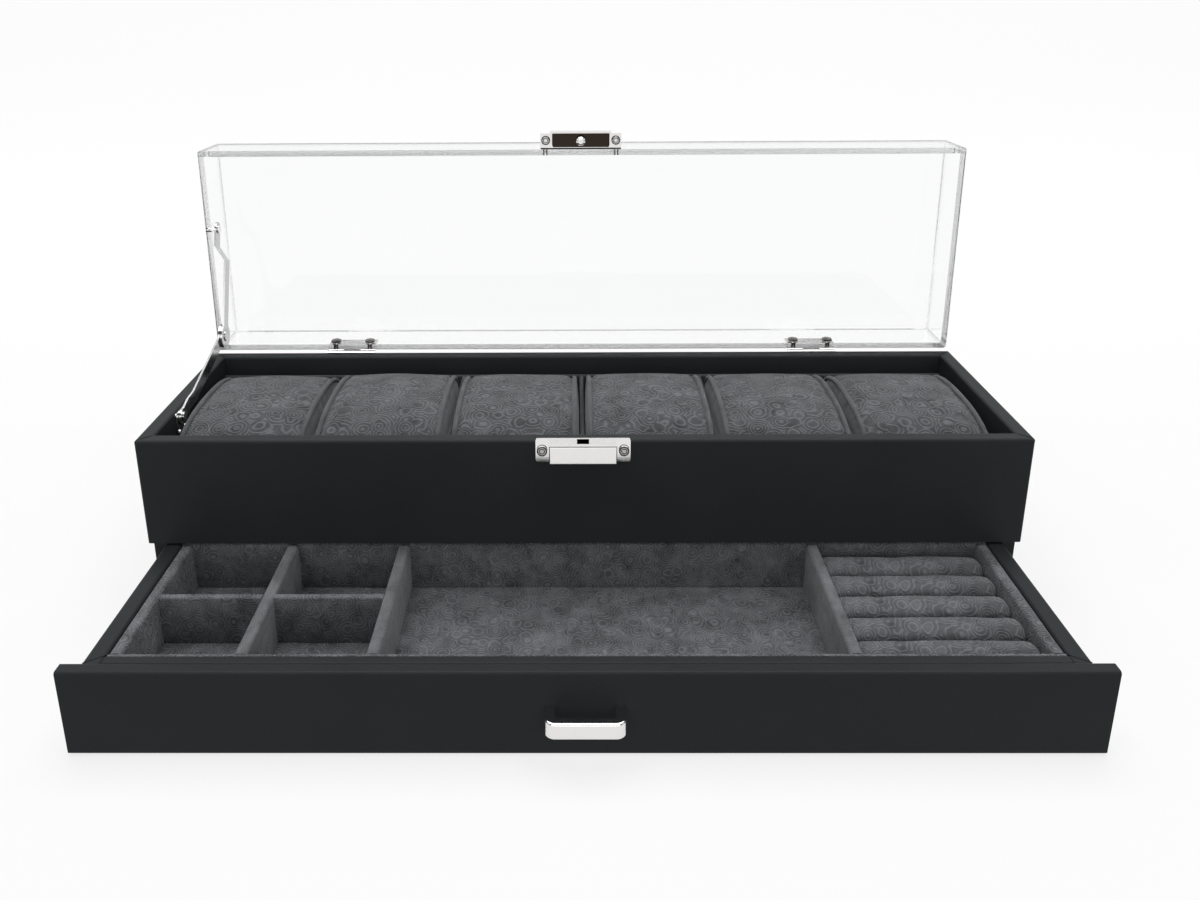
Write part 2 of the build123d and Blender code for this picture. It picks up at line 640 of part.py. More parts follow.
front_panel = block((-half_width, half_width), panel_y, (panel_bottom, panel_top))
front_panel = fillet(front_panel.edges().filter_by(Axis.X), rim_radius)
inner_front = board((-board_inner_x, board_inner_x), front_board_y, board_z, rim_radius)
floor_x = (-board_inner_x, board_inner_x)
floor_y = (front_board_y[1], rear_board_y[0])
drawer_parts["drawer_inner_front"] = inner_front
drawer_parts["drawer_rear"] = board(floor_x, rear_board_y, board_z, rim_radius)
side_y = (panel_y[1], drawer_rear)
drawer_parts["drawer_side_left"] = board((-drawer_x, -board_inner_x), side_y, board_z, rim_radius)
drawer_parts["drawer_side_right"] = board((board_inner_x, drawer_x), side_y, board_z, rim_radius)
drawer_parts["drawer_bottom"] = block(floor_x, floor_y, (board_z[0], bottom_top))
drawer_parts["drawer_floor_pad"] = block(floor_x, floor_y, (bottom_top, pad_top_z))
drawer_parts["lining_front"] = board(floor_x, (front_board_y[1], inner_front_y), lining_z, front_lining * 0.4)
drawer_parts["lining_rear"] = board(floor_x, (inner_rear_y, rear_board_y[0]), lining_z, divider_round)
lined_y = (inner_front_y, inner_rear_y)
drawer_parts["lining_left"] = board((-board_inner_x, -lined_x), lined_y, lining_z, divider_round)
drawer_parts["lining_right"] = board((lined_x, board_inner_x), lined_y, lining_z, divider_round)

half_thick = divider_thickness / 2
column_divider_x = -lined_x + first_cell_width + half_thick
compartment_divider_x = column_divider_x + half_thick + second_cell_width + half_thick
ring_divider_x = lined_x - ring_field_width - half_thick
long_dividers = {"divider_compartments": compartment_divider_x, "divider_rings": ring_divider_x,
                 "divider_column": column_divider_x}
for name, x in long_dividers.items():
    drawer_parts[name] = board((x - half_thick, x + half_thick), lined_y, lining_z, divider_round)
cross_y = (cross_divider_y - cross_divider_thickness / 2, cross_divider_y + cross_divider_thickness / 2)
cells = [(-lined_x, column_divider_x - half_thick),
         (column_divider_x + half_thick, compartment_divider_x - half_thick)]
cross_round = cross_divider_thickness * 0.3
drawer_parts["divider_cross"] = Compound(children=[board(span, cross_y, lining_z, cross_round) for span in cells])

# Ring field: five round rolls, flat below, on a base
ring_x = (ring_divider_x + half_thick + ring_roll_clearance, lined_x - ring_roll_clearance)
ring_base_top = pad_top_z + ring_base_height
drawer_parts["ring_base"] = block(ring_x, lined_y, (pad_top_z, ring_base_top))
roll_radius = (ring_roll_pitch - ring_roll_gap) / 2
roll_z = ring_base_top + roll_radius
rolls = []
for index in range(ring_roll_count):
    roll_y = (lined_y[0] + lined_y[1]) / 2 + (index - (ring_roll_count - 1) / 2) * ring_roll_pitch
    roll = rod((ring_x[0], roll_y, roll_z), (1, 0, 0), roll_radius, ring_x[1] - ring_x[0])
    roll = fillet(roll.edges().filter_by(GeomType.CIRCLE), ring_roll_end_round)
    bed = block(ring_x, (roll_y - roll_radius * 0.6, roll_y + roll_radius * 0.6),
                (ring_base_top, roll_z - roll_radius * 0.5))
    rolls.append(roll + fillet(bed.edges().filter_by(Axis.Z), ring_roll_clearance * 2))
drawer_parts["ring_rolls"] = Compound(children=rolls)

# Drawer handle: a strap bent to a U, screwed from behind the panel
handle_z = (handle_centre_z - handle_height / 2, handle_centre_z + handle_height / 2)
half_handle = handle_width / 2
bar_front = panel_y[0] - handle_reach
strap = block((-half_handle, half_handle), (bar_front, panel_y[0]), handle_z)
strap = fillet(strap.edges().filter_by(Axis.Z).filter_by_position(Axis.Y, bar_front - 0.01, bar_front + 0.01),
               handle_corner)
gap = block((-half_handle + handle_leg, half_handle - handle_leg), (bar_front + handle_bar, panel_y[0] + out),
            (handle_z[0] - out, handle_z[1] + out))
gap = fillet(gap.edges().filter_by(Axis.Z).sort_by(Axis.Y)[:2], handle_corner * 0.4)
strap -= gap
front_edges = strap.edges().filter_by(Axis.X).filter_by_position(Axis.Y, bar_front - 0.01, bar_front + 0.01)
strap = fillet(front_edges, handle_bar * 0.3)
handle_screws = []
leg_x = half_handle - handle_leg / 2
for sign in (-1, 1):
    back = (sign * leg_x, panel_y[1], handle_centre_z)
    head_seat = (sign * leg_x, panel_y[1] - handle_screw_head, handle_centre_z)
    reach = panel_thickness - handle_screw_head + handle_screw_depth
    bolt = rod(back, (0, -1, 0), handle_screw_head_radius, handle_screw_head)
    bolt += rod(head_seat, (0, -1, 0), handle_screw_radius, reach)
    handle_screws.append(bolt)
    hole = rod(back, (0, -1, 0), handle_screw_head_radius + screw_clearance, handle_screw_head)
    hole += rod(head_seat, (0, -1, 0), handle_screw_radius + screw_clearance, reach + screw_clearance)
    front_panel -= hole
    strap -= hole
drawer_parts["drawer_front_panel"] = front_panel
drawer_parts["drawer_handle"] = strap
drawer_parts["handle_screws"] = Compound(children=handle_screws)

for name, shape in lid_parts.items():
    parts[name] = opened(shape)
for name, shape in drawer_parts.items():
    parts[name] = pulled(shape)

os.makedirs("parts", exist_ok=True)
for name, shape in parts.items():
    export_step(shape, f"parts/{name}.step")

# Turns of the two arms as the lid closes: the knee meets in the open and in the closed pose
lower_opened = atan2(knee[1] - lower_pivot[1], knee[0] - lower_pivot[0])
lower_closed = atan2(closed_knee[1] - lower_pivot[1], closed_knee[0] - lower_pivot[0])
upper_opened = atan2(knee[1] - lid_pin[1], knee[0] - lid_pin[0])
upper_closed = atan2(closed_knee[1] - closed_lid_pin[1], closed_knee[0] - closed_lid_pin[0])
lower_turn = degrees(lower_closed - lower_opened)
upper_turn = degrees(upper_closed - upper_opened) - lid_open_angle
print("nodes", len(parts))
print("open knee", [round(value, 3) for value in knee], "lid pin", [round(value, 3) for value in lid_pin])
print("turn of the lower arm", round(lower_turn, 4), "of the upper arm on the lid", round(upper_turn, 4))
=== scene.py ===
"""Dresses a long watch box: a leatherette case and drawer, suede pillows, a clear lid and plated hardware."""

import json
import logging
import math
from collections.abc import Callable, Sequence
from dataclasses import dataclass, field
from enum import Enum

import bmesh
import bpy
from mathutils import Matrix, Vector, noise


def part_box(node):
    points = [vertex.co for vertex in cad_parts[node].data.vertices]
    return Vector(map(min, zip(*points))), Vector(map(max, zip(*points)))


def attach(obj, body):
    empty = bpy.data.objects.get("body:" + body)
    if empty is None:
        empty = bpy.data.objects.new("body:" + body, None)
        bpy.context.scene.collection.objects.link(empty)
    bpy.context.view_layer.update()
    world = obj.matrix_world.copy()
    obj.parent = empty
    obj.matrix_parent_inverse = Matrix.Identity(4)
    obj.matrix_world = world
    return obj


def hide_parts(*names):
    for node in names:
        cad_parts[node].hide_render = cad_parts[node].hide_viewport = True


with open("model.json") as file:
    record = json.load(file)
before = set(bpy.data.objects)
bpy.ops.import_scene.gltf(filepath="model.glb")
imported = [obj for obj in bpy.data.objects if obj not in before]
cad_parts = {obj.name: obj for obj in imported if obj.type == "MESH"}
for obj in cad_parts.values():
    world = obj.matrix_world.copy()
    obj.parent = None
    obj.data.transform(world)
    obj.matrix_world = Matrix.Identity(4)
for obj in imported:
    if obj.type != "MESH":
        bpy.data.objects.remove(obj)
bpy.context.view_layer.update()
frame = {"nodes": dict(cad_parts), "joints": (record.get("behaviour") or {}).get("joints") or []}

MM = 0.001
MM_PER_METRE = 1000.0
CLOTH_MAP = "cloth"
# radii of the dark rings of painted shade on the screws' faces: at the head's edge and in its groove
SHADE_RING_RADII = (1.74 * MM, 0.95 * MM)
BOTH = (-1, 1)
X_AXIS = Vector((1.0, 0.0, 0.0))
Y_AXIS = Vector((0.0, 1.0, 0.0))
Z_AXIS = Vector((0.0, 0.0, 1.0))
Triple = tuple[float, float, float]
Span = tuple[float, float]
log = logging.getLogger("watch_box")


class Wire:
    """An output socket of a node tree. Arithmetic on it adds Math nodes."""

    def __init__(self, tree: bpy.types.NodeTree, socket: bpy.types.NodeSocket) -> None:
        """Keeps the tree and the socket."""
        self.tree = tree
        self.socket = socket

    def math(self, operation: str, *values: "Wire | float") -> "Wire":
        """Adds one Math node.

        Args:
            operation: The operation of the node.
            values: Its inputs, in order.

        Returns:
            The result.
        """
        node = self.tree.nodes.new("ShaderNodeMath")
        node.operation = operation
        for socket, value in zip(node.inputs, values):
            feed(self.tree, socket, value)
        return Wire(self.tree, node.outputs[0])

    def __add__(self, other: "Wire | float") -> "Wire":
        """Sum."""
        return self.math("ADD", self, other)

    def __radd__(self, other: float) -> "Wire":
        """Sum with a number first."""
        return self.math("ADD", other, self)

    def __sub__(self, other: "Wire | float") -> "Wire":
        """Difference."""
        return self.math("SUBTRACT", self, other)

    def __rsub__(self, other: float) -> "Wire":
        """Difference from a number."""
        return self.math("SUBTRACT", other, self)

    def __mul__(self, other: "Wire | float") -> "Wire":
        """Product."""
        return self.math("MULTIPLY", self, other)

    def __rmul__(self, other: float) -> "Wire":
        """Product with a number first."""
        return self.math("MULTIPLY", other, self)

    def __truediv__(self, other: "Wire | float") -> "Wire":
        """Quotient."""
        return self.math("DIVIDE", self, other)

    def __pow__(self, other: "Wire | float") -> "Wire":
        """Power."""
        return self.math("POWER", self, other)

    def __abs__(self) -> "Wire":
        """Size without the sign."""
        return self.math("ABSOLUTE", self)

    def __lt__(self, other: "Wire | float") -> "Wire":
        """One where the value is below the other, else zero."""
        return self.math("LESS_THAN", self, other)

    def __gt__(self, other: "Wire | float") -> "Wire":
        """One where the value is above the other, else zero."""
        return self.math("GREATER_THAN", self, other)

    def sine(self) -> "Wire":
        """Sine of the value."""
        return self.math("SINE", self)

    def floored(self) -> "Wire":
        """The whole number below the value."""
        return self.math("FLOOR", self)

    def clamped(self, low: float, high: float) -> "Wire":
        """The value kept between two limits."""
        return self.math("MINIMUM", self.math("MAXIMUM", self, low), high)


Value = Wire | float


def feed(tree: bpy.types.NodeTree, socket: bpy.types.NodeSocket, value: Value | tuple) -> None:
    """Links a wire to a socket, or sets the socket's value.

    Args:
        tree: The tree of the socket.
        socket: The input.
        value: A wire, a number, a colour, a vector or a material.
    """
    if isinstance(value, Wire):
        tree.links.new(value.socket, socket)
    else:
        socket.default_value = value


class NodeMaker:
    """Adds nodes of any type to one tree."""

    def __init__(self, tree: bpy.types.NodeTree) -> None:
        """Keeps the tree."""
        self.tree = tree

    def node(self, kind: str, settings: dict, inputs: dict, output: int | str = 0) -> Wire:
        """Adds one node.

        Args:
            kind: The node's type.
            settings: Its properties.
            inputs: Values or wires by the socket's name or number.
            output: The output to return, by name or number.

        Returns:
            The chosen output.
        """
        node = self.tree.nodes.new(kind)
        for name, value in settings.items():
            setattr(node, name, value)
        for key, value in inputs.items():
            feed(self.tree, node.inputs[key], value)
        return Wire(self.tree, node.outputs[output] if len(node.outputs) else None)


class Shader(NodeMaker):
    """The node tree of one material. Lengths in it are millimetres."""

    def __init__(self, name: str) -> None:
        """Starts an empty material of this name."""
        self.material = bpy.data.materials.new(name)
        self.material.use_nodes = True
        super().__init__(self.material.node_tree)
        self.tree.nodes.clear()

    def place(self, stretch: Triple = (1.0, 1.0, 1.0), on_cloth: bool = False) -> Wire:
        """The place on the piece.

        Args:
            stretch: How far the place is stretched along each axis.
            on_cloth: Whether it is read from the piece's own cloth map.

        Returns:
            The place.
        """
        if on_cloth:
            place = self.node("ShaderNodeUVMap", {"uv_map": CLOTH_MAP}, {})
        else:
            place = self.node("ShaderNodeTexCoord", {}, {}, "Object")
        scale = tuple(MM_PER_METRE * value for value in stretch)
        return self.node("ShaderNodeMapping", {}, {"Vector": place, "Scale": scale})

    def part(self, place: Wire, axis: int) -> Wire:
        """One coordinate of a place."""
        return self.node("ShaderNodeSeparateXYZ", {}, {"Vector": place}, axis)

    def cloud(self, place: Wire, size: float, detail: float = 3.0, roughness: float = 0.5) -> Wire:
        """Soft noise from 0 to 1, with patches of about the given size."""
        inputs = {"Vector": place, "Scale": 1.0 / size, "Detail": detail, "Roughness": roughness}
        return self.node("ShaderNodeTexNoise", {}, inputs)

    def cells(self, place: Wire, size: float, randomness: float = 1.0) -> Wire:
        """The distance from the middle of the nearest cell, as a share of the cell's size."""
        inputs = {"Vector": place, "Scale": 1.0 / size, "Randomness": randomness}
        return self.node("ShaderNodeTexVoronoi", {"feature": "F1"}, inputs)

    def shifted(self, place: Wire, size: float, reach: float) -> Wire:
        """The place moved about by soft noise.

        Args:
            place: The place.
            size: The size of the noise.
            reach: How far it moves a point.

        Returns:
            The moved place.
        """
        kind = "ShaderNodeVectorMath"
        noise_inputs = {"Vector": place, "Scale": 1.0 / size, "Detail": 1.0}
        wobble = self.node("ShaderNodeTexNoise", {}, noise_inputs, 1)
        centred = self.node(kind, {"operation": "SUBTRACT"}, {0: wobble, 1: (0.5, 0.5, 0.5)})
        scaled = self.node(kind, {"operation": "SCALE"}, {0: centred, "Scale": 2 * reach})
        return self.node(kind, {"operation": "ADD"}, {0: place, 1: scaled})

    def blend(self, factor: Value, low: Wire | Triple, high: Wire | Triple) -> Wire:
        """A colour between two colours."""
        low, high = (end if isinstance(end, Wire) else (*end, 1.0) for end in (low, high))
        return self.node("ShaderNodeMix", {"data_type": "RGBA"}, {0: factor, 6: low, 7: high}, 2)

    def bump(self, height: Wire, depth: float, under: dict | None = None) -> Wire:
        """A bump of the given depth, over another one where that is given as the Normal input."""
        inputs = {"Height": height, "Strength": 1.0, "Distance": depth * MM, **(under or {})}
        return self.node("ShaderNodeBump", {}, inputs)

    def finish(self, inputs: dict) -> bpy.types.Material:
        """Closes the tree with a Principled shader.

        Args:
            inputs: Values or wires by the shader's socket names.

        Returns:
            The material.
        """
        surface = self.node("ShaderNodeBsdfPrincipled", {}, inputs)
        self.node("ShaderNodeOutputMaterial", {}, {"Surface": surface})
        return self.material


@dataclass(frozen=True)
class Leatherette:
    """Fine-grained coated cloth, as the case and the drawer are covered with."""

    name: str = "leatherette"
    colour: Triple = (0.0166, 0.0188, 0.0198)
    light: Triple = (0.0212, 0.0240, 0.0252)
    pore: float = 0.55
    crease: float = 2.4
    patch: float = 26.0
    grain_depth: float = 0.03
    roughness: float = 0.46

    def material(self) -> bpy.types.Material:
        """Builds the material."""
        shader = Shader(self.name)
        place = shader.place()
        pores = shader.cells(shader.shifted(place, 1.6, 0.25), self.pore)
        creases = shader.cloud(place, self.crease, 4.0, 0.6)
        patches = shader.cloud(place, self.patch)
        return shader.finish({
            "Base Color": shader.blend((patches - 0.2).clamped(0.0, 1.0), self.colour, self.light),
            "Roughness": self.roughness + (creases - 0.5) * 0.12 + (patches - 0.5) * 0.08,
            "Specular IOR Level": 0.08,
            "Normal": shader.bump(pores * 0.7 + creases * 0.5, self.grain_depth),
        })


@dataclass(frozen=True)
class Suede:
    """Brushed suede with a nap, and with rosettes of nested rings pressed into it."""

    name: str
    shade: Triple
    nap: Triple
    cell: float = 7.2
    ring_gap: float = 1.15
    ring_sharpness: float = 3.0
    press: float = 0.17
    line: float = 0.30
    sheen: float = 0.16
    nap_depth: float = 0.05
    on_cloth: bool = False

    def material(self) -> bpy.types.Material:
        """Builds the material."""
        shader = Shader(self.name)
        place = shader.place(on_cloth=self.on_cloth)
        warped = shader.shifted(place, 0.8 * self.cell, 0.13 * self.cell)
        turns = 2.0 * math.pi * self.cell / self.ring_gap
        wave = (shader.cells(warped, self.cell, 0.72) * turns - 0.4 * math.pi).sine()
        ridge = (wave * 0.5 + 0.5) ** self.ring_sharpness
        brushed = shader.cloud(place, 9.0, 4.0, 0.62)
        streaks = shader.cloud(shader.place((1.0, 0.35, 0.6), self.on_cloth), 2.2, 3.0, 0.6)
        fibre = shader.cloud(place, 0.16, 2.0, 0.7)
        mottle = (brushed - 0.5) * 1.5 + (streaks - 0.5) * 0.7 + (fibre - 0.5) * 0.5 + 0.5
        tone = (mottle + (ridge - 0.28) * self.line).clamped(0.0, 1.0)
        pressed = shader.bump(ridge, self.press)
        return shader.finish({
            "Base Color": shader.blend(tone, self.shade, self.nap),
            "Roughness": 0.86 + (brushed - 0.5) * 0.12,
            "Specular IOR Level": 0.18,
            "Sheen Weight": self.sheen,
            "Sheen Roughness": 0.45,
            "Normal": shader.bump(fibre + streaks * 0.4, self.nap_depth, {"Normal": pressed}),
        })


@dataclass(frozen=True)
class PlatedMetal:
    """Bright plating, with faint polishing lines. A hollow, given by its half width, front and top, is
    darkened with painted shade.
    """

    name: str
    colour: Triple
    roughness: float
    line_depth: float = 0.004
    hollow: Triple | None = None
    # colour of the painted shade in the hollow
    painted_hollow_shade: Triple = (0.012, 0.011, 0.010)

    def material(self) -> bpy.types.Material:
        """Builds the material."""
        shader = Shader(self.name)
        scratches = shader.cloud(shader.place((0.12, 1.0, 1.0)), 0.22, 3.0, 0.6)
        place = shader.place()
        haze = shader.cloud(place, 5.0)
        colour = shader.blend(haze, tuple(0.95 * value for value in self.colour), self.colour)
        if self.hollow is not None:
            half_width, front, top = self.hollow
            x, y, z = (shader.part(place, axis) for axis in range(3))
            # painted shade: the colour within the hollow is darkened, where shade falls
            painted_shade_mask = (abs(x) < half_width) * (y > front) * (z < top)
            colour = shader.blend(painted_shade_mask, colour, self.painted_hollow_shade)
        return shader.finish({
            "Base Color": colour,
            "Metallic": 1.0,
            "Roughness": self.roughness + (haze - 0.5) * 0.10 + (scratches - 0.5) * 0.06,
            "Normal": shader.bump(scratches, self.line_depth),
        })


@dataclass(frozen=True)
class ClearAcrylic:
    """Clear sheet with polished edges, whose own reflection is weak."""

    name: str = "clear_acrylic"
    colour: Triple = (0.966, 0.969, 0.972)
    cloudy: Triple = (0.948, 0.952, 0.956)
    reflection: float = 0.34
    ripple_depth: float = 0.006

    def material(self) -> bpy.types.Material:
        """Builds the material."""
        shader = Shader(self.name)
        place = shader.place()
        veil = shader.cloud(place, 40.0)
        return shader.finish({
            "Base Color": shader.blend(veil, self.cloudy, self.colour),
            "Roughness": 0.012 + veil * 0.012,
            "IOR": 1.49,
            "Specular Tint": (self.reflection, self.reflection, self.reflection, 1.0),
            "Transmission Weight": 1.0,
            "Normal": shader.bump(shader.cloud(place, 18.0, 1.0), self.ripple_depth),
        })


@dataclass(frozen=True)
class Felt:
    """Pressed felt under the case."""

    name: str = "felt"
    colour: Triple = (0.010, 0.011, 0.012)
    lint: Triple = (0.022, 0.024, 0.026)
    lint_depth: float = 0.12

    def material(self) -> bpy.types.Material:
        """Builds the material."""
        shader = Shader(self.name)
        fibre = shader.cloud(shader.place(), 0.3, 4.0, 0.7)
        return shader.finish({
            "Base Color": shader.blend(fibre, self.colour, self.lint),
            "Roughness": 0.93 + (fibre - 0.5) * 0.08,
            "Specular IOR Level": 0.15,
            "Normal": shader.bump(fibre, self.lint_depth),
        })


@dataclass(frozen=True)
class StagePaint:
    """Even pale paint of the floor and the backdrop, brighter from behind the box on."""

    name: str = "stage_paint"
    near: float = 0.145
    far: float = 0.03
    near_glow: float = 0.760
    far_glow: float = 0.945
    start: float = 120.0
    reach: float = 200.0

    def material(self) -> bpy.types.Material:
        """Builds the material."""
        shader = Shader(self.name)
        place = shader.place()
        share = ((shader.part(place, 1) - self.start) / self.reach).clamped(0.0, 1.0)
        return shader.finish({
            "Base Color": shader.blend(share, (self.near,) * 3, (self.far,) * 3),
            "Roughness": 0.9 + (shader.cloud(place, 600.0) - 0.5) * 0.05,
            "Specular IOR Level": 0.1,
            "Emission Color": shader.blend(share, (self.near_glow,) * 3, (self.far_glow,) * 3),
            "Emission Strength": 1.0,
        })


class Finishes:
    """All finishes of the box, each built once."""

    def __init__(self) -> None:
        """Builds the materials."""
        self.leatherette = Leatherette().material()
        # the dark seam finish draws the cover's fold lines and also the painted shadow strip under the lid's
        # latch
        self.seam = Leatherette("leatherette_seam_and_shadow", (0.0020, 0.0023, 0.0025),
                                (0.0045, 0.0050, 0.0054)).material()
        self.pillow_suede = Suede("pillow_suede", (0.019, 0.0208, 0.0222), (0.098, 0.104, 0.109),
                                  line=0.62, press=0.22, on_cloth=True).material()
        self.pillow_trim = Suede("pillow_trim", (0.034, 0.037, 0.039), (0.084, 0.090, 0.094),
                                 press=0.02, line=0.0).material()
        # painted light: the gussets wear a lighter copy of the pillow suede, lifted where the pillows' ends
        # fall in shade
        self.gusset_suede_painted_light = Suede("gusset_suede_painted_light", (0.042, 0.046, 0.049), (0.112, 0.119, 0.124),
                                  press=0.02, line=0.04, on_cloth=True).material()
        lining = {"shade": (0.028, 0.030, 0.032), "nap": (0.134, 0.141, 0.148), "cell": 5.7,
                  "ring_gap": 0.95, "press": 0.15, "line": 0.46}
        self.roll_suede = Suede("roll_suede", on_cloth=True, **lining).material()
        self.lining_suede = Suede("lining_suede", **lining).material()
        self.divider_suede = Suede("divider_suede", (0.034, 0.036, 0.038), (0.140, 0.147, 0.154),
                                   cell=5.7, ring_gap=1.05, press=0.05, line=0.08).material()
        self.insert_suede = Suede("insert_suede", (0.026, 0.029, 0.031), (0.066, 0.071, 0.075),
                                  press=0.04, line=0.08).material()
        bright = (0.80, 0.79, 0.78)
        self.plated = PlatedMetal("plated_metal", bright, 0.075).material()
        # the latch's plate and pad are darkened with painted shade in the hollow of the slot
        self.latch_plated_painted_shade = PlatedMetal("latch_plated_metal_painted_shade", bright, 0.075,
                                        hollow=(2.3, -50.9, 75.46)).material()
        # dark finish of painted shade: the screws' rings and the tray in the lid latch's recess
        self.painted_shade_plating = PlatedMetal("painted_shade_plating_metal", (0.034, 0.026, 0.021), 0.12).material()
        self.screw_steel = PlatedMetal("screw_steel", (0.62, 0.61, 0.60), 0.28).material()
        self.stay_steel = PlatedMetal("stay_steel", (0.54, 0.54, 0.54), 0.22, 0.006).material()
        self.post_steel = PlatedMetal("post_steel", (0.17, 0.155, 0.145), 0.20).material()
        self.acrylic = ClearAcrylic().material()
        self.felt = Felt().material()
        self.stage = StagePaint().material()


def corners_of(node: str) -> tuple[Vector, Vector]:
    """The lowest and the highest corner of a CAD node."""
    low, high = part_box(node)
    return Vector(low), Vector(high)


def dress(material: bpy.types.Material, *names: str) -> None:
    """Gives CAD nodes a finish.

    Args:
        material: The finish.
        names: The nodes.
    """
    for name in names:
        node = frame["nodes"][name]
        node.data.materials.clear()
        node.data.materials.append(material)
        log.info("node %s wears %s", name, material.name)


def add_piece(name: str, mesh: bpy.types.Mesh, material: bpy.types.Material, body: str) -> bpy.types.Object:
    """Puts a mesh on a body.

    Args:
        name: The piece's name.
        mesh: Its mesh, in place.
        material: Its finish, where the mesh has none.
        body: The body it rides on.

    Returns:
        The new object.
    """
    mesh.name = name
    if not mesh.materials:
        mesh.materials.append(material)
    piece = bpy.data.objects.new(name, mesh)
    bpy.context.scene.collection.objects.link(piece)
    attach(piece, body)
    log.info("piece %s rides on %s, %d faces", name, body, len(mesh.polygons))
    return piece


def round_off(piece: bpy.types.Object) -> None:
    """Rounds a piece by one level of subdivision.

    Args:
        piece: The piece.
    """
    rounded = piece.modifiers.new("rounded", "SUBSURF")
    rounded.levels = 1
    rounded.render_levels = 1


def solid_mesh(name: str, points: Sequence[Vector], faces: Sequence[Sequence[int]],
               smooth: bool = True) -> bpy.types.Mesh:
    """A closed mesh whose faces point outwards.

    Args:
        name: The mesh's name.
        points: Its points.
        faces: Its faces.
        smooth: Whether it is shaded smooth.

    Returns:
        The mesh.
    """
    mesh = bpy.data.meshes.new(name)
    mesh.from_pydata([tuple(point) for point in points], [], faces)
    shape = bmesh.new()
    shape.from_mesh(mesh)
    bmesh.ops.recalc_face_normals(shape, faces=shape.faces)
    shape.to_mesh(mesh)
    shape.free()
    if smooth:
        mesh.shade_smooth()
    return mesh


def ring_faces(rows: int, size: int, start: int = 0, closed: bool = False) -> list[tuple[int, ...]]:
    """The faces between rings of points.

    Args:
        rows: How many rings there are.
        size: The points of one ring.
        start: The first point.
        closed: Whether the last ring joins the first.

    Returns:
        The faces.
    """
    faces = []
    for row in range(rows if closed else rows - 1):
        low = start + row * size
        high = start + (row + 1) % rows * size
        for step in range(size):
            after = (step + 1) % size
            faces.append((low + step, low + after, high + after, high + step))
    return faces


def ringed_mesh(name: str, rings: Sequence[Sequence[Vector]], cap: tuple[Vector, Vector],
                smooth: bool = True) -> bpy.types.Mesh:
    """A closed mesh through rings of equal length, with a point at each end.

    Args:
        name: The mesh's name.
        rings: The rings, from one end to the other.
        cap: The two end points.
        smooth: Whether it is shaded smooth.

    Returns:
        A mesh whose vertices follow the rings in order, with the two end points last.
    """
    size = len(rings[0])
    points = [point for ring in rings for point in ring]
    points.extend(cap)
    faces = ring_faces(len(rings), size)
    last = (len(rings) - 1) * size
    for step in range(size):
        after = (step + 1) % size
        faces.append((len(points) - 2, after, step))
        faces.append((len(points) - 1, last + step, last + after))
    return solid_mesh(name, points, faces, smooth)


def map_cloth(mesh: bpy.types.Mesh, around: int, first: int, last: int) -> None:
    """Lays a cloth map in metres on a ringed mesh: by x along it and by arc length round it.

    Args:
        mesh: The mesh, as ringed_mesh makes it.
        around: The points of one ring.
        first: The ring where the band starts; before it the map lies flat on the end.
        last: The ring where the band ends.
    """
    middle = (first + last) // 2 * around
    ring = [mesh.vertices[middle + step].co for step in range(around)]
    arc = [0.0]
    for step in range(around):
        arc.append(arc[-1] + (ring[(step + 1) % around] - ring[step]).length)
    layer = mesh.uv_layers.new(name=CLOTH_MAP)
    for face in mesh.polygons:
        rows = [index // around for index in face.vertices]
        steps = [index % around for index in face.vertices]
        on_end = min(rows) < first or max(rows) > last
        wraps = max(steps) == around - 1 and min(steps) == 0
        for loop, index, step in zip(face.loop_indices, face.vertices, steps):
            place = mesh.vertices[index].co
            length = arc[around] if wraps and step == 0 else arc[step]
            layer.data[loop].uv = (place.y, place.z) if on_end else (place.x, length)


def circle(centre: Vector, along: Vector, across: Vector, radius: float, sides: int) -> list[Vector]:
    """Points on a circle.

    Args:
        centre: Its middle.
        along: The direction of the first point.
        across: The direction of the point a quarter further.
        radius: Its radius.
        sides: How many points it has.

    Returns:
        The points.
    """
    angles = (2.0 * math.pi * step / sides for step in range(sides))
    return [centre + (along * math.cos(angle) + across * math.sin(angle)) * radius for angle in angles]


def closed_tube(name: str, loops: Sequence[Sequence[Vector]], radius: float,
                sides: int = 8) -> bpy.types.Mesh:
    """One mesh of tubes along closed paths.

    Args:
        name: The mesh's name.
        loops: The paths.
        radius: The tube's radius.
        sides: The points round the tube.

    Returns:
        The mesh.
    """
    points: list[Vector] = []
    faces = []
    for path in loops:
        faces += ring_faces(len(path), sides, len(points), closed=True)
        for step, centre in enumerate(path):
            along = (path[(step + 1) % len(path)] - path[step - 1]).normalized()
            side = X_AXIS if abs(along.x) < 0.9 else Vector((0.0, 0.6, 0.8))
            side = (side - along * side.dot(along)).normalized()
            points += circle(centre, side, along.cross(side), radius, sides)
    return solid_mesh(name, points, faces)


def screw_shade_rings(name: str, centres: Sequence[Vector], across: Vector, thread: float) -> bpy.types.Mesh:
    """Two thin rings on the face of each screw, which carry painted shade at the head's edge and in its
    groove.

    Args:
        name: The mesh's name.
        centres: The middles of the screws' faces.
        across: The direction in the faces that is square to x.
        thread: The radius of the rings' tube.

    Returns:
        The mesh.
    """
    loops = [circle(centre, X_AXIS, across, radius, 32) for centre in centres for radius in SHADE_RING_RADII]
    return closed_tube(name, loops, thread)


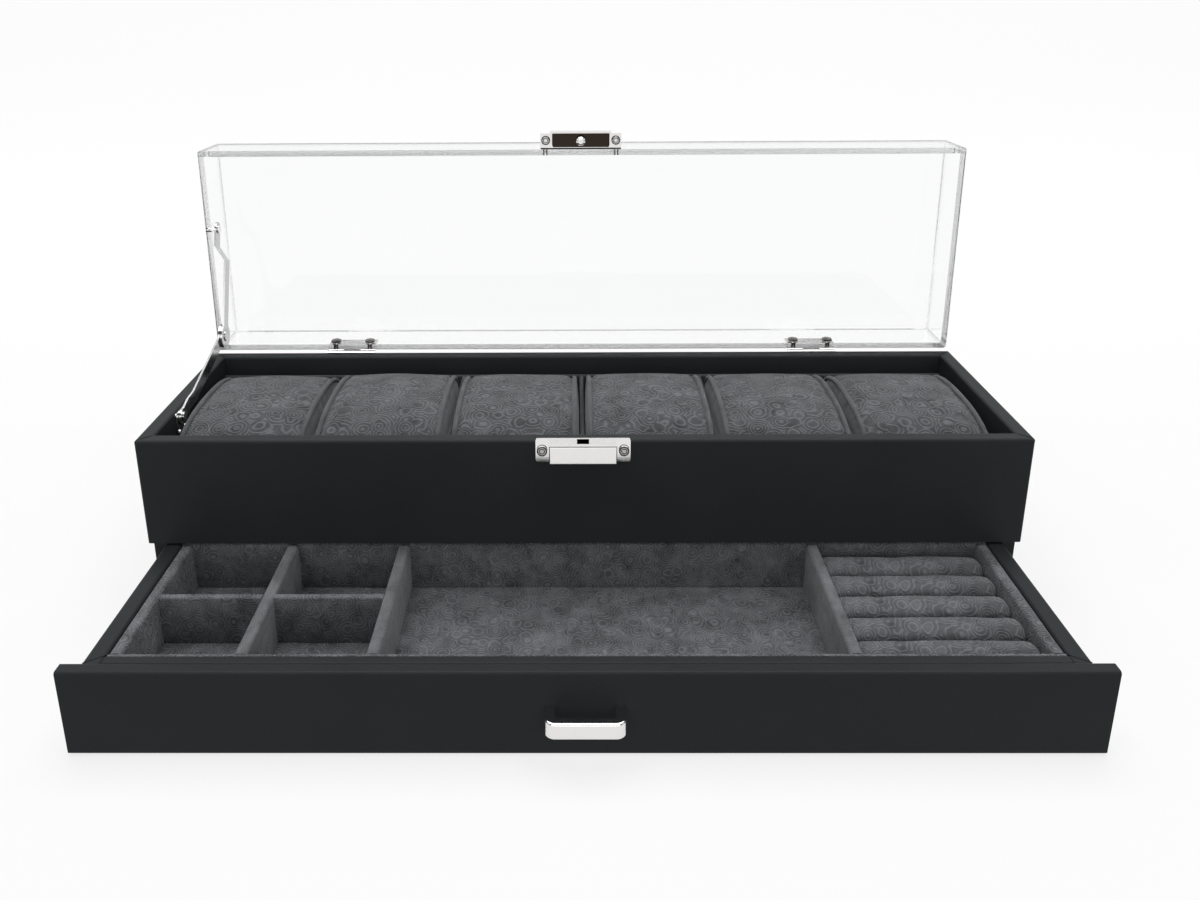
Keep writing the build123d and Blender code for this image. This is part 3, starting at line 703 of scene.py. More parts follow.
class GeometryTree(NodeMaker):
    """A Geometry Nodes tree with named inputs, run once on a carrier mesh."""

    def __init__(self, name: str) -> None:
        """Starts a tree of this name, with its geometry sockets."""
        super().__init__(bpy.data.node_groups.new(name, "GeometryNodeTree"))
        for in_out in ("INPUT", "OUTPUT"):
            self.tree.interface.new_socket("Geometry", in_out=in_out, socket_type="NodeSocketGeometry")
        self.entry = self.tree.nodes.new("NodeGroupInput")

    def size(self, name: str, value: float) -> Wire:
        """Adds a named length input."""
        socket = self.tree.interface.new_socket(name, in_out="INPUT", socket_type="NodeSocketFloat")
        socket.default_value = value
        return Wire(self.tree, self.entry.outputs[name])

    def carrier(self) -> Wire:
        """The mesh that the tree works on."""
        return Wire(self.tree, self.entry.outputs["Geometry"])

    def triple(self, x: Value, y: Value, z: Value) -> Wire:
        """A vector from three values."""
        return self.node("ShaderNodeCombineXYZ", {}, {"X": x, "Y": y, "Z": z})

    def raised(self, geometry: Wire, height: Value) -> Wire:
        """The geometry moved up."""
        inputs = {"Geometry": geometry, "Translation": self.triple(0.0, 0.0, height)}
        return self.node("GeometryNodeTransform", {}, inputs)

    def cylinder(self, vertices: int, radius: Value, depth: Value) -> Wire:
        """A round bar, with its middle at the origin."""
        inputs = {"Vertices": vertices, "Radius": radius, "Depth": depth}
        return self.node("GeometryNodeMeshCylinder", {}, inputs, "Mesh")

    def cone(self, vertices: int, top: Value, bottom: Value, depth: Value) -> Wire:
        """A cut-off cone that stands on the origin."""
        inputs = {"Vertices": vertices, "Radius Top": top, "Radius Bottom": bottom, "Depth": depth}
        return self.node("GeometryNodeMeshCone", {}, inputs, "Mesh")

    def block(self, x: Value, y: Value, z: Value) -> Wire:
        """A block, with its middle at the origin."""
        return self.node("GeometryNodeMeshCube", {}, {"Size": self.triple(x, y, z)}, "Mesh")

    def joined(self, *pieces: Wire) -> Wire:
        """Several geometries as one.

        Args:
            pieces: The geometries.

        Returns:
            All of them.
        """
        join = self.tree.nodes.new("GeometryNodeJoinGeometry")
        for piece in pieces:
            self.tree.links.new(piece.socket, join.inputs[0])
        return Wire(self.tree, join.outputs[0])

    def cut(self, solid: Wire, cutter: Wire) -> Wire:
        """A solid less another one."""
        inputs = {"Mesh 1": solid, "Mesh 2": cutter}
        return self.node("GeometryNodeMeshBoolean", {"operation": "DIFFERENCE"}, inputs, "Mesh")

    def on_points(self, points: Wire, shape: Wire, turn: Wire | Triple = (0.0, 0.0, 0.0)) -> Wire:
        """A copy of the shape on each point, turned."""
        inputs = {"Points": points, "Instance": shape, "Rotation": turn}
        return self.node("GeometryNodeInstanceOnPoints", {}, inputs)

    def turned_to(self, axis: str, direction: Wire) -> Wire:
        """The turn that lays an axis along a direction."""
        return self.node("FunctionNodeAlignRotationToVector", {"axis": axis}, {"Vector": direction})

    def close(self, geometry: Wire, material: bpy.types.Material) -> None:
        """Ends the tree: instances are made real and get their finish.

        Args:
            geometry: What the tree has made.
            material: Its finish.
        """
        real = self.node("GeometryNodeRealizeInstances", {}, {"Geometry": geometry})
        done = self.node("GeometryNodeSetMaterial", {}, {"Geometry": real, "Material": material})
        self.node("NodeGroupOutput", {}, {"Geometry": done})

    def run(self, carrier: bpy.types.Mesh, sizes: dict[str, float]) -> bpy.types.Mesh:
        """Runs the tree and keeps the result as a plain mesh.

        Args:
            carrier: The mesh to work on.
            sizes: Values of the named inputs.

        Returns:
            The resulting mesh.
        """
        holder = bpy.data.objects.new("holder", carrier)
        bpy.context.scene.collection.objects.link(holder)
        modifier = holder.modifiers.new("nodes", "NODES")
        modifier.node_group = self.tree
        for item in self.tree.interface.items_tree:
            if item.item_type == "SOCKET" and item.in_out == "INPUT" and item.name in sizes:
                modifier[item.identifier] = float(sizes[item.name])
        graph = bpy.context.evaluated_depsgraph_get()
        mesh = bpy.data.meshes.new_from_object(holder.evaluated_get(graph), depsgraph=graph)
        holder.modifiers.remove(modifier)
        bpy.data.objects.remove(holder)
        return mesh


class Drive(Enum):
    """What is cut into a screw's head."""

    CROSS = "cross"
    RING = "ring"


class ScrewTree(GeometryTree):
    """Screws on points: each head stands out along the point's aim, its threaded shank runs back."""

    def __init__(self, drive: Drive, material: bpy.types.Material) -> None:
        """Builds the tree.

        Args:
            drive: The recess of the head.
            material: The finish.
        """
        super().__init__(f"screw_{drive.value}")
        radius = self.size("Head radius", 1.8 * MM)
        height = self.size("Head height", 0.9 * MM)
        shank_radius = self.size("Shank radius", 1.0 * MM)
        shank_length = self.size("Shank length", 5.0 * MM)
        pitch = self.size("Thread pitch", 0.45 * MM)
        brim = self.raised(self.cylinder(28, radius, height * 0.55), height * 0.275)
        dome = self.raised(self.cone(28, radius * 0.78, radius, height * 0.45), height * 0.55)
        head = self.cut(self.joined(brim, dome), self.recess(drive, radius, height))
        core = self.raised(self.cylinder(16, shank_radius * 0.86, shank_length), shank_length * -0.5)
        line = self.node("GeometryNodeMeshLine", {"mode": "OFFSET", "count_mode": "TOTAL"},
                         {"Count": (shank_length / pitch).floored(),
                          "Offset": self.triple(0.0, 0.0, pitch * -1.0)}, "Mesh")
        ridge = self.raised(self.cone(16, shank_radius * 0.8, shank_radius, pitch * 0.55), pitch * -0.8)
        screw = self.joined(head, core, self.on_points(line, ridge))
        aim = self.node("GeometryNodeInputNamedAttribute", {"data_type": "FLOAT_VECTOR"}, {"Name": "aim"})
        self.close(self.on_points(self.carrier(), screw, self.turned_to("Z", aim)), material)

    def recess(self, drive: Drive, radius: Wire, height: Wire) -> Wire:
        """The shape cut into a head.

        Args:
            drive: Its kind.
            radius: The head's radius.
            height: The head's height.

        Returns:
            The shape.
        """
        if drive is Drive.CROSS:
            long, narrow, deep = radius * 1.1, radius * 0.24, height * 0.8
            shape = self.joined(self.block(long, narrow, deep), self.block(narrow, long, deep))
        else:
            shape = self.cut(self.cylinder(28, radius * 0.78, height * 1.3),
                             self.cylinder(20, radius * 0.40, height * 2.2))
        return self.raised(shape, height)


class StitchTree(GeometryTree):
    """Short stitches along the edges of a carrier."""

    def __init__(self, material: bpy.types.Material) -> None:
        """Builds the tree, with the finish of the thread."""
        super().__init__("stitches")
        spacing = self.size("Spacing", 2.4 * MM)
        length = self.size("Stitch length", 1.7 * MM)
        thread = self.size("Thread radius", 0.16 * MM)
        curve = self.node("GeometryNodeMeshToCurve", {}, {"Mesh": self.carrier()})
        points = self.node("GeometryNodeResampleCurve", {"mode": "LENGTH"},
                           {"Curve": curve, "Length": spacing})
        tangent = self.node("GeometryNodeInputTangent", {}, {})
        bead = self.node("GeometryNodeMeshUVSphere", {}, {"Segments": 8, "Rings": 5, "Radius": 1.0}, "Mesh")
        stitch = self.node("GeometryNodeTransform", {},
                           {"Geometry": bead, "Scale": self.triple(length * 0.5, thread, thread)})
        self.close(self.on_points(points, stitch, self.turned_to("X", tangent)), material)


class SeamTree(GeometryTree):
    """A thin dark line of folded cover along the edges of a carrier."""

    def __init__(self, material: bpy.types.Material) -> None:
        """Builds the tree, with the finish of the line."""
        super().__init__("seams")
        radius = self.size("Line radius", 0.13 * MM)
        curve = self.node("GeometryNodeMeshToCurve", {}, {"Mesh": self.carrier()})
        profile = self.node("GeometryNodeCurvePrimitiveCircle", {},
                            {"Resolution": 8, "Radius": radius}, "Curve")
        line = self.node("GeometryNodeCurveToMesh", {},
                         {"Curve": curve, "Profile Curve": profile, "Fill Caps": True})
        self.close(line, material)


def line_carrier(name: str, lines: Sequence[Sequence[Vector]], closed: bool = False) -> bpy.types.Mesh:
    """A mesh of lines.

    Args:
        name: The mesh's name.
        lines: The lines.
        closed: Whether each line ends where it starts.

    Returns:
        The mesh.
    """
    points: list[tuple] = []
    edges = []
    for line in lines:
        start = len(points)
        points.extend(tuple(point) for point in line)
        steps = range(len(line) if closed else len(line) - 1)
        edges.extend((start + step, start + (step + 1) % len(line)) for step in steps)
    mesh = bpy.data.meshes.new(name)
    mesh.from_pydata(points, edges, [])
    return mesh


def point_carrier(name: str, seats: Sequence[Vector], aim: Vector) -> bpy.types.Mesh:
    """A mesh of loose points that know their aim.

    Args:
        name: The mesh's name.
        seats: The places.
        aim: The direction of them all.

    Returns:
        The mesh.
    """
    mesh = bpy.data.meshes.new(name)
    mesh.from_pydata([tuple(place) for place in seats], [], [])
    for item in mesh.attributes.new("aim", "FLOAT_VECTOR", "POINT").data:
        item.vector = aim
    return mesh


@dataclass
class Stuffing:
    """Blows padded meshes up with cloth, all in one run, at ten times their size."""

    enlarge: float = 10.0
    frames: int = 20
    pressure: float = 4.0
    slack: float = -0.045
    stiffness: float = 12.0
    jobs: list[tuple[bpy.types.Object, float]] = field(default_factory=list)

    def add(self, mesh: bpy.types.Mesh, pinned: Sequence[int], cap: float) -> bpy.types.Object:
        """Takes a mesh to be blown up.

        Args:
            mesh: The slack shape.
            pinned: Vertices that stay.
            cap: The most that a point may move, in metres.

        Returns:
            The object that carries the mesh.
        """
        carrier = bpy.data.objects.new("stuffing", mesh)
        bpy.context.scene.collection.objects.link(carrier)
        mesh.transform(Matrix.Scale(self.enlarge, 4))
        group = carrier.vertex_groups.new(name="held")
        group.add(list(pinned), 1.0, "REPLACE")
        cloth = carrier.modifiers.new("cloth", "CLOTH")
        settings = {
            "quality": 5, "mass": 0.25, "tension_stiffness": self.stiffness,
            "compression_stiffness": self.stiffness, "shear_stiffness": 5.0,
            "bending_stiffness": 0.4, "use_pressure": True,
            "uniform_pressure_force": self.pressure, "shrink_min": self.slack,
            "vertex_group_mass": "held",
        }
        for name, value in settings.items():
            setattr(cloth.settings, name, value)
        cloth.settings.effector_weights.gravity = 0.0
        cloth.collision_settings.use_collision = False
        cloth.point_cache.frame_start = 1
        cloth.point_cache.frame_end = self.frames
        self.jobs.append((carrier, cap))
        return carrier

    def run(self) -> None:
        """Runs the cloth and writes the capped result into each mesh."""
        scene = bpy.context.scene
        for step in range(1, self.frames + 1):
            scene.frame_set(step)
        graph = bpy.context.evaluated_depsgraph_get()
        for carrier, cap in self.jobs:
            swollen = carrier.evaluated_get(graph).data
            limit = cap * self.enlarge
            moved = []
            for before, after in zip(carrier.data.vertices, swollen.vertices):
                shift = after.co - before.co
                if shift.length > limit:
                    shift *= limit / shift.length
                moved.append(before.co + shift)
            for vertex, place in zip(carrier.data.vertices, moved):
                vertex.co = place / self.enlarge
            carrier.modifiers.clear()
            carrier.vertex_groups.clear()
        scene.frame_set(1)


@dataclass
class WatchPillows:
    """Six stuffed pillows: a crowned band between two piped seams, and a gathered gusset at each end."""

    finishes: Finishes
    around: int = 132
    stations: int = 30
    gusset_rings: int = 11
    seam_inset: float = 1.45 * MM
    crown: float = 0.9 * MM
    crown_room: float = 2.6 * MM
    gusset_start: float = 0.95 * MM
    gusset_limit: float = 0.55 * MM
    groove: float = 0.55 * MM
    sway: float = 0.35 * MM
    bed: float = 2.0 * MM
    cap: float = 1.15 * MM
    top_power: float = 2.6
    bed_power: float = 5.0
    piping_radius: float = 1.0 * MM
    piping_lift: float = 0.30 * MM
    stitch_lift: float = 0.05 * MM
    stitch_spacing: float = 2.3 * MM
    rises: tuple[float, ...] = (-0.4 * MM, 0.6 * MM, 0.1 * MM, 0.4 * MM, 0.2 * MM, -0.2 * MM)
    bodies: dict[str, bpy.types.Object] = field(default_factory=dict)

    @property
    def seam_rows(self) -> tuple[int, int]:
        """The rings of the two seams."""
        return self.gusset_rings - 1, self.gusset_rings - 1 + self.stations

    def outline(self, turn: float, half_length: float, half_height: float) -> Span:
        """A point on the side outline.

        Args:
            turn: The angle round the outline.
            half_length: Half of the pillow's length.
            half_height: Half of its height at the seam.

        Returns:
            The offsets along y and z from the middle.
        """
        cosine = math.cos(turn)
        sine = math.sin(turn)
        power = 2.0 / (self.top_power if sine > 0 else self.bed_power)
        y = half_length * math.copysign(abs(cosine) ** power, cosine)
        z = half_height * math.copysign(abs(sine) ** power, sine)
        return y, z

    def rows(self, half_width: float) -> list[Triple]:
        """The rings of a pillow, from the left gusset to the right one.

        Args:
            half_width: Half of the width between the seams.

        Returns:
            For each ring its offset along x, its share of the full outline, and its crown.
        """
        shares = [ring / self.gusset_rings for ring in range(1, self.gusset_rings)]
        ends = [(half_width + self.gusset_start * (1 - share ** 2), share, 0.0) for share in shares]
        band = []
        for station in range(self.stations + 1):
            across = 2 * station / self.stations - 1
            band.append((half_width * across, 1.0, self.crown * (1 - across ** 2)))
        return [(-x, share, crown) for x, share, crown in ends] + band + ends[::-1]

    def slack_rings(self, low: Vector, high: Vector, seed: float) -> list[list[Vector]]:
        """The rings of a pillow before it is stuffed.

        Args:
            low: The lowest corner of its space.
            high: The highest corner.
            seed: What sets this pillow's unevenness apart.

        Returns:
            The rings, from the left gusset to the right one.
        """
        middle = (low + high) / 2
        half_length = (high.y - low.y) / 2
        half_height = (high.z - self.crown_room - low.z) / 2
        centre_z = low.z + half_height
        rings = []
        for x, share, crown in self.rows((high.x - low.x) / 2 - self.seam_inset):
            ring_points = []
            for step in range(self.around):
                turn = 2 * math.pi * step / self.around
                y, z = self.outline(turn, half_length, half_height)
                sway = noise.noise(Vector((x * 60 + seed, turn * 1.3, seed))) * self.sway
                lift = crown * max(0.0, math.sin(turn)) ** 0.5
                ring_points.append(Vector((middle.x + x, middle.y + y * share,
                                           centre_z + z * share + lift + sway * share)))
            rings.append(ring_points)
        first, last = self.seam_rows
        for row in (first + 1, last - 1):
            rings[row] = [self.sunk(point, middle.y, centre_z) for point in rings[row]]
        return rings

    def sunk(self, point: Vector, y: float, z: float) -> Vector:
        """A point drawn in towards the pillow's middle line, where the seam is sewn down."""
        inward = Vector((0.0, y - point.y, z - point.z)).normalized()
        return point + inward * self.groove

    def start(self, stuffing: Stuffing) -> None:
        """Makes the slack pillows and hands them to the stuffing.

        Args:
            stuffing: What blows them up.
        """
        first, last = self.seam_rows
        for index, rise in enumerate(self.rises, 1):
            name = f"pillow_{index}"
            low, high = corners_of(name)
            rings = self.slack_rings(low, high + Z_AXIS * rise, index * 7.3)
            caps = tuple(sum(ring, Vector()) / len(ring) for ring in (rings[0], rings[-1]))
            mesh = ringed_mesh(name, rings, caps)
            pinned = [row * self.around + step for row in (first, first + 1, last - 1, last)
                      for step in range(self.around)]
            pinned += [vertex.index for vertex in mesh.vertices if vertex.co.z < low.z + self.bed]
            self.bodies[name] = stuffing.add(mesh, sorted(set(pinned)), self.cap)

    def lifted(self, mesh: bpy.types.Mesh, row: int, centre: Vector, reach: float) -> list[Vector]:
        """One ring of a pillow's mesh, moved away from its middle line.

        Args:
            mesh: The mesh.
            row: The ring.
            centre: A point of the middle line.
            reach: How far it is moved.

        Returns:
            The moved ring.
        """
        start = row * self.around
        ring = [mesh.vertices[start + step].co.copy() for step in range(self.around)]
        away = ((point - Vector((point.x, centre.y, centre.z))).normalized() for point in ring)
        return [point + step * reach for point, step in zip(ring, away)]

    def finish(self) -> None:
        """Dresses the stuffed pillows with suede, piping and stitches."""
        trim = self.finishes.pillow_trim
        stitches = StitchTree(trim)
        first, last = self.seam_rows
        for name, carrier in self.bodies.items():
            mesh = carrier.data
            mesh.materials.append(self.finishes.pillow_suede)
            # the gussets' lighter suede is painted light
            mesh.materials.append(self.finishes.gusset_suede_painted_light)
            for face in mesh.polygons:
                face.material_index = 0 if first <= face.vertices[0] // self.around < last else 1
            map_cloth(mesh, self.around, first, last)
            low, high = corners_of(name)
            centre = (low + high) / 2
            for vertex in mesh.vertices:
                vertex.co.z = max(vertex.co.z, low.z)
                vertex.co.x = min(max(vertex.co.x, low.x - self.gusset_limit), high.x + self.gusset_limit)
            pipes = [self.lifted(mesh, row, centre, self.piping_lift) for row in (first, last)]
            for point in (point for pipe in pipes for point in pipe):
                point.y = min(max(point.y, low.y + self.piping_radius), high.y - self.piping_radius)
                point.z = max(point.z, low.z + self.piping_radius)
            runs = [self.lifted(mesh, row, centre, self.stitch_lift) for row in (first + 1, last - 1)]
            bpy.data.objects.remove(carrier)
            piece = add_piece(name + "_cover", mesh, self.finishes.pillow_suede, name)
            round_off(piece)
            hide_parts(name)
            piping = closed_tube(name + "_piping", pipes, self.piping_radius)
            thread_path = line_carrier(name + "_seam", runs, closed=True)
            sewn = stitches.run(thread_path, {"Spacing": self.stitch_spacing})
            for part, part_mesh in (("_piping", piping), ("_stitches", sewn)):
                add_piece(name + part, part_mesh, trim, name)


@dataclass
class RingRolls:
    """Stuffed rolls that hold rings between them."""

    finishes: Finishes
    count: int = 5
    around: int = 44
    stations: int = 40
    slack_share: float = 0.90
    axis_share: float = 0.93
    left_round: float = 2.2 * MM
    right_round: float = 5.0 * MM
    end_share: float = 0.30
    end_dip: float = 1.2 * MM
    ripple: float = 0.25 * MM
    bed: float = 1.0 * MM
    cap: float = 0.40 * MM
    carriers: list[bpy.types.Object] = field(default_factory=list)

    def slack_rings(self, low: Vector, high: Vector, index: int) -> list[list[Vector]]:
        """The rings of a roll before it is stuffed.

        Args:
            low: The lowest corner of the space of all rolls.
            high: The highest corner.
            index: The roll's place, from 0 at the front.

        Returns:
            The rings, from left to right.
        """
        radius = (high.z - low.z) / 2
        pitch = (high.y - low.y - 2 * radius) / (self.count - 1)
        axis = Vector((0.0, low.y + radius + index * pitch, low.z + radius * self.axis_share))
        rings = []
        for station in range(self.stations + 1):
            share = station / self.stations
            x = low.x + (high.x - low.x) * (0.5 - 0.5 * math.cos(math.pi * share))
            inset = max(0.0, 1 - (x - low.x) / self.left_round, 1 - (high.x - x) / self.right_round)
            narrow = max(self.end_share, (1 - inset ** 2.4) ** 0.5 if inset < 1 else 0.0)
            ring = []
            for step in range(self.around):
                turn = 2 * math.pi * step / self.around
                ripple = noise.noise(Vector((x * 90, turn, index * 3.1))) * self.ripple
                reach = radius * self.slack_share * narrow + ripple * narrow
                point = axis + Vector((x, reach * math.cos(turn), reach * math.sin(turn)))
                point.z = max(point.z, low.z)
                ring.append(point)
            rings.append(ring)
        return rings

    def start(self, stuffing: Stuffing) -> None:
        """Makes the slack rolls and hands them to the stuffing.

        Args:
            stuffing: What blows them up.
        """
        low, high = corners_of("ring_rolls")
        for index in range(self.count):
            rings = self.slack_rings(low, high, index)
            caps = tuple(sum(ring, Vector()) / len(ring) + X_AXIS * inward
                         for ring, inward in ((rings[0], self.end_dip), (rings[-1], -self.end_dip)))
            mesh = ringed_mesh(f"ring_roll_{index + 1}", rings, caps)
            ends = set(range(self.around)) | set(range(self.stations * self.around, len(mesh.vertices)))
            pinned = [vertex.index for vertex in mesh.vertices
                      if vertex.co.z < low.z + self.bed or vertex.index in ends]
            self.carriers.append(stuffing.add(mesh, pinned, self.cap))

    def finish(self) -> None:
        """Dresses the stuffed rolls."""
        for index, carrier in enumerate(self.carriers, 1):
            mesh = carrier.data
            bpy.data.objects.remove(carrier)
            map_cloth(mesh, self.around, 0, self.stations)
            piece = add_piece(f"ring_roll_{index}", mesh, self.finishes.roll_suede, "drawer")
            round_off(piece)
            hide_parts("ring_rolls")


@dataclass
class Case:
    """The covered case with its suede insert, base, latch and hinge leaves."""

    finishes: Finishes
    screw_head_radius: float = 1.8 * MM
    screw_head_height: float = 0.9 * MM
    screw_length: float = 5.4 * MM
    latch_plate_thickness: float = 0.9 * MM
    latch_screw_x: float = 15.0 * MM
    latch_screw_drop: float = 4.6 * MM
    latch_shade_ring_thread: float = 0.17 * MM
    leaf_thickness: float = 0.8 * MM
    leaf_screw_x: float = 7.7 * MM
    leaf_screw_rise: float = 4.6 * MM
    fold_depth: float = 8.0 * MM
    edge_round: float = 1.0 * MM
    edge_cut: float = 0.29 * MM
    line_lift: float = 0.01 * MM

    def build(self) -> None:
        """Dresses the nodes of the case and sets its screws."""
        dress(self.finishes.leatherette, "case_front_wall", "case_rear_wall", "case_side_left",
              "case_side_right", "tray_floor", "base_board")
        dress(self.finishes.insert_suede, "insert_floor", "insert_front_wall", "insert_rear_wall",
              "slot_dividers")
        dress(self.finishes.felt, "base_felt")
        # the latch's plate and pad carry painted shade in the slot
        dress(self.finishes.latch_plated_painted_shade, "latch_plate", "latch_pad")
        dress(self.finishes.plated, "hinge_case_leaf_left", "hinge_case_leaf_right", "stay_bracket")
        dress(self.finishes.screw_steel, "hinge_pins", "latch_spring", "stay_bracket_screws")
        self.screws()
        self.latch_shade_rings()
        self.mitres()

    def latch_seats(self) -> list[Vector]:
        """Where the heads of the latch's screws sit on its plate."""
        plate = corners_of("latch_plate")[1]
        return [Vector((side * self.latch_screw_x, plate.y - self.latch_plate_thickness,
                        plate.z - self.latch_screw_drop)) for side in BOTH]

    def screws(self) -> None:
        """Sets cross-head screws in the hinge leaves and ringed ones in the latch plate."""
        rear = []
        for name in ("hinge_case_leaf_left", "hinge_case_leaf_right"):
            low, high = corners_of(name)
            rear += [Vector(((low.x + high.x) / 2 + side * self.leaf_screw_x, low.y + self.leaf_thickness,
                             low.z + self.leaf_screw_rise)) for side in BOTH]
        sizes = {"Head radius": self.screw_head_radius, "Head height": self.screw_head_height,
                 "Shank length": self.screw_length}
        steel = self.finishes.screw_steel
        for name, drive, seats, aim in (("latch_screws", Drive.RING, self.latch_seats(), -Y_AXIS),
                                        ("hinge_case_screws", Drive.CROSS, rear, Y_AXIS)):
            mesh = ScrewTree(drive, steel).run(point_carrier(name, seats, aim), sizes)
            piece = add_piece(name, mesh, steel, "case")
            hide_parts("case_screws")

    def latch_shade_rings(self) -> None:
        """Draws two dark rings of painted shade on each screw of the latch, at the head's edge and in its
        groove.
        """
        faces = [seat - Y_AXIS * self.screw_head_height for seat in self.latch_seats()]
        mesh = screw_shade_rings("latch_screw_shade_rings", faces, Z_AXIS, self.latch_shade_ring_thread)
        add_piece("latch_screw_shade_rings", mesh, self.finishes.painted_shade_plating, "case")

    def mitres(self) -> None:
        """Draws the fold lines of the cover across the four corners of the rim."""
        low, high = corners_of("case_side_left")
        top = high.z
        wall = high.x - low.x
        outer_x, outer_y = -low.x, -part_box("case_front_wall")[0][1]
        profile = [(0.30 * MM, top - self.edge_round), (0.51 * MM, top - self.edge_cut),
                   (1.03 * MM, top + self.line_lift), (wall - self.edge_round, top + self.line_lift),
                   (wall - self.edge_cut, top - self.edge_cut), (wall, top - self.edge_round),
                   (wall, top - self.fold_depth)]
        lines = [[Vector((side * (outer_x - inset), front * (outer_y - inset), z)) for inset, z in profile]
                 for side in BOTH for front in BOTH]
        draw_folds("rim_mitres", lines, self.finishes.seam, "case")


def draw_folds(name: str, lines: Sequence[Sequence[Vector]], seam: bpy.types.Material, body: str) -> None:
    """Draws the fold lines of a cover.

    Args:
        name: The piece's name.
        lines: The lines.
        seam: Their finish.
        body: The body that they ride on.
    """
    add_piece(name, SeamTree(seam).run(line_carrier(name, lines), {}), seam, body)


@dataclass
class Lid:
    """The clear lid with its hinge leaves, latch and stay pin. Its places are those of the closed lid."""

    finishes: Finishes
    recess_x: Span = (-12.25 * MM, 12.25 * MM)
    recess_y: Span = (-51.75 * MM, -45.95 * MM)
    recess_z: Span = (75.95 * MM, 78.75 * MM)
    recess_round: float = 0.7 * MM
    # thickness of the dark tray of painted shade in the recess
    shade_tray_thickness: float = 0.14 * MM
    ear_screw: Triple = (15.0 * MM, -48.85 * MM, 75.8 * MM)
    ear_head_radius: float = 1.65 * MM
    ear_head_height: float = 0.75 * MM
    ear_shank: float = 0.9 * MM
    ear_shade_ring_thread: float = 0.16 * MM
    # size and place of the dark strip of painted shadow where the latch's foot meets the lid's wall
    shadow_gap_x: float = 17.2 * MM
    shadow_gap_y: Span = (-45.62 * MM, -45.12 * MM)
    shadow_gap_z: Span = (75.52 * MM, 75.78 * MM)
    shadow_gap_edge: float = 0.06 * MM

    def add(self, name: str, mesh: bpy.types.Mesh, material: bpy.types.Material, slot: str) -> None:
        """Adds a piece made in the closed lid's place, and turns it to where the lid stands.

        Args:
            name: The piece's name.
            mesh: Its mesh, in the closed lid's place.
            material: Its finish.
            slot: The material slot of the record; not used.
        """
        hinge = next(joint for joint in frame["joints"] if joint["name"] == "lid_hinge")
        axis = Matrix.Translation(hinge["pos_m"])
        angle = -math.radians(hinge["range_deg"][1])
        mesh.transform(axis @ Matrix.Rotation(angle, 4, "X") @ axis.inverted())
        add_piece(name, mesh, material, "lid")

    def plan(self, inset: float) -> list[Span]:
        """The rounded outline of the latch's recess, in plan.

        Args:
            inset: How far it is drawn in.

        Returns:
            The points.
        """
        radius = self.recess_round
        low_x, high_x = self.recess_x[0] + radius, self.recess_x[1] - radius
        low_y, high_y = self.recess_y[0] + radius, self.recess_y[1] - radius
        corners = ((high_x, high_y, 0), (low_x, high_y, 90), (low_x, low_y, 180), (high_x, low_y, 270))
        turns = [(x, y, math.radians(first + 18 * step)) for x, y, first in corners for step in range(6)]
        reach = radius - inset
        return [(x + reach * math.cos(angle), y + reach * math.sin(angle)) for x, y, angle in turns]

    def recess_shade_tray(self) -> bpy.types.Mesh:
        """A thin dark tray in the recess of the latch, as painted shade where the recess lies in shadow."""
        low, high = self.recess_z
        outer = self.plan(0.0)
        inner = self.plan(self.shade_tray_thickness)
        levels = [(outer, high), (outer, low), (inner, low), (inner, high - self.shade_tray_thickness)]
        rings = [[Vector((x, y, z)) for x, y in outline] for outline, z in levels]
        middle = Vector((0.0, sum(self.recess_y) / 2, high))
        caps = (middle, middle - Z_AXIS * self.shade_tray_thickness)
        return ringed_mesh("latch_recess_painted_shade", rings, caps, smooth=False)

    def shadow_gap_strip(self) -> bpy.types.Mesh:
        """A dark strip of painted shadow along the foot of the latch, on the lid's wall."""
        shape = bmesh.new()
        bmesh.ops.create_cube(shape, size=1.0)
        sizes = (2 * self.shadow_gap_x, self.shadow_gap_y[1] - self.shadow_gap_y[0], self.shadow_gap_z[1] - self.shadow_gap_z[0])
        middle = (0.0, sum(self.shadow_gap_y) / 2, sum(self.shadow_gap_z) / 2)
        bmesh.ops.scale(shape, vec=sizes, verts=shape.verts)
        bmesh.ops.translate(shape, vec=middle, verts=shape.verts)
        bmesh.ops.bevel(shape, geom=shape.edges[:], offset=self.shadow_gap_edge, segments=2, affect="EDGES")
        mesh = bpy.data.meshes.new("latch_shadow_gap")
        shape.to_mesh(mesh)
        shape.free()
        return mesh

    def build(self) -> None:
        """Dresses the nodes of the lid, puts a thin dark tray of painted shade in the recess of its latch and
        lays a dark strip of painted shadow under it.
        """
        # dark holds the finish of painted shade: the recess's tray and the ear screws' rings wear it
        steel, dark = self.finishes.screw_steel, self.finishes.painted_shade_plating
        self.add("latch_recess_painted_shade", self.recess_shade_tray(), dark, "plated_metal")
        # painted shadow: the dark strip under the latch, in the seam finish
        self.add("latch_shadow_gap", self.shadow_gap_strip(), self.finishes.seam, "leatherette")
        x, y, z = self.ear_screw
        seats = [Vector((side * x, y, z)) for side in BOTH]
        sizes = {"Head radius": self.ear_head_radius, "Head height": self.ear_head_height,
                 "Shank length": self.ear_shank}
        heads = ScrewTree(Drive.RING, steel).run(point_carrier("latch_ear_screws", seats, -Z_AXIS), sizes)
        self.add("latch_ear_screws", heads, steel, "screw_steel")
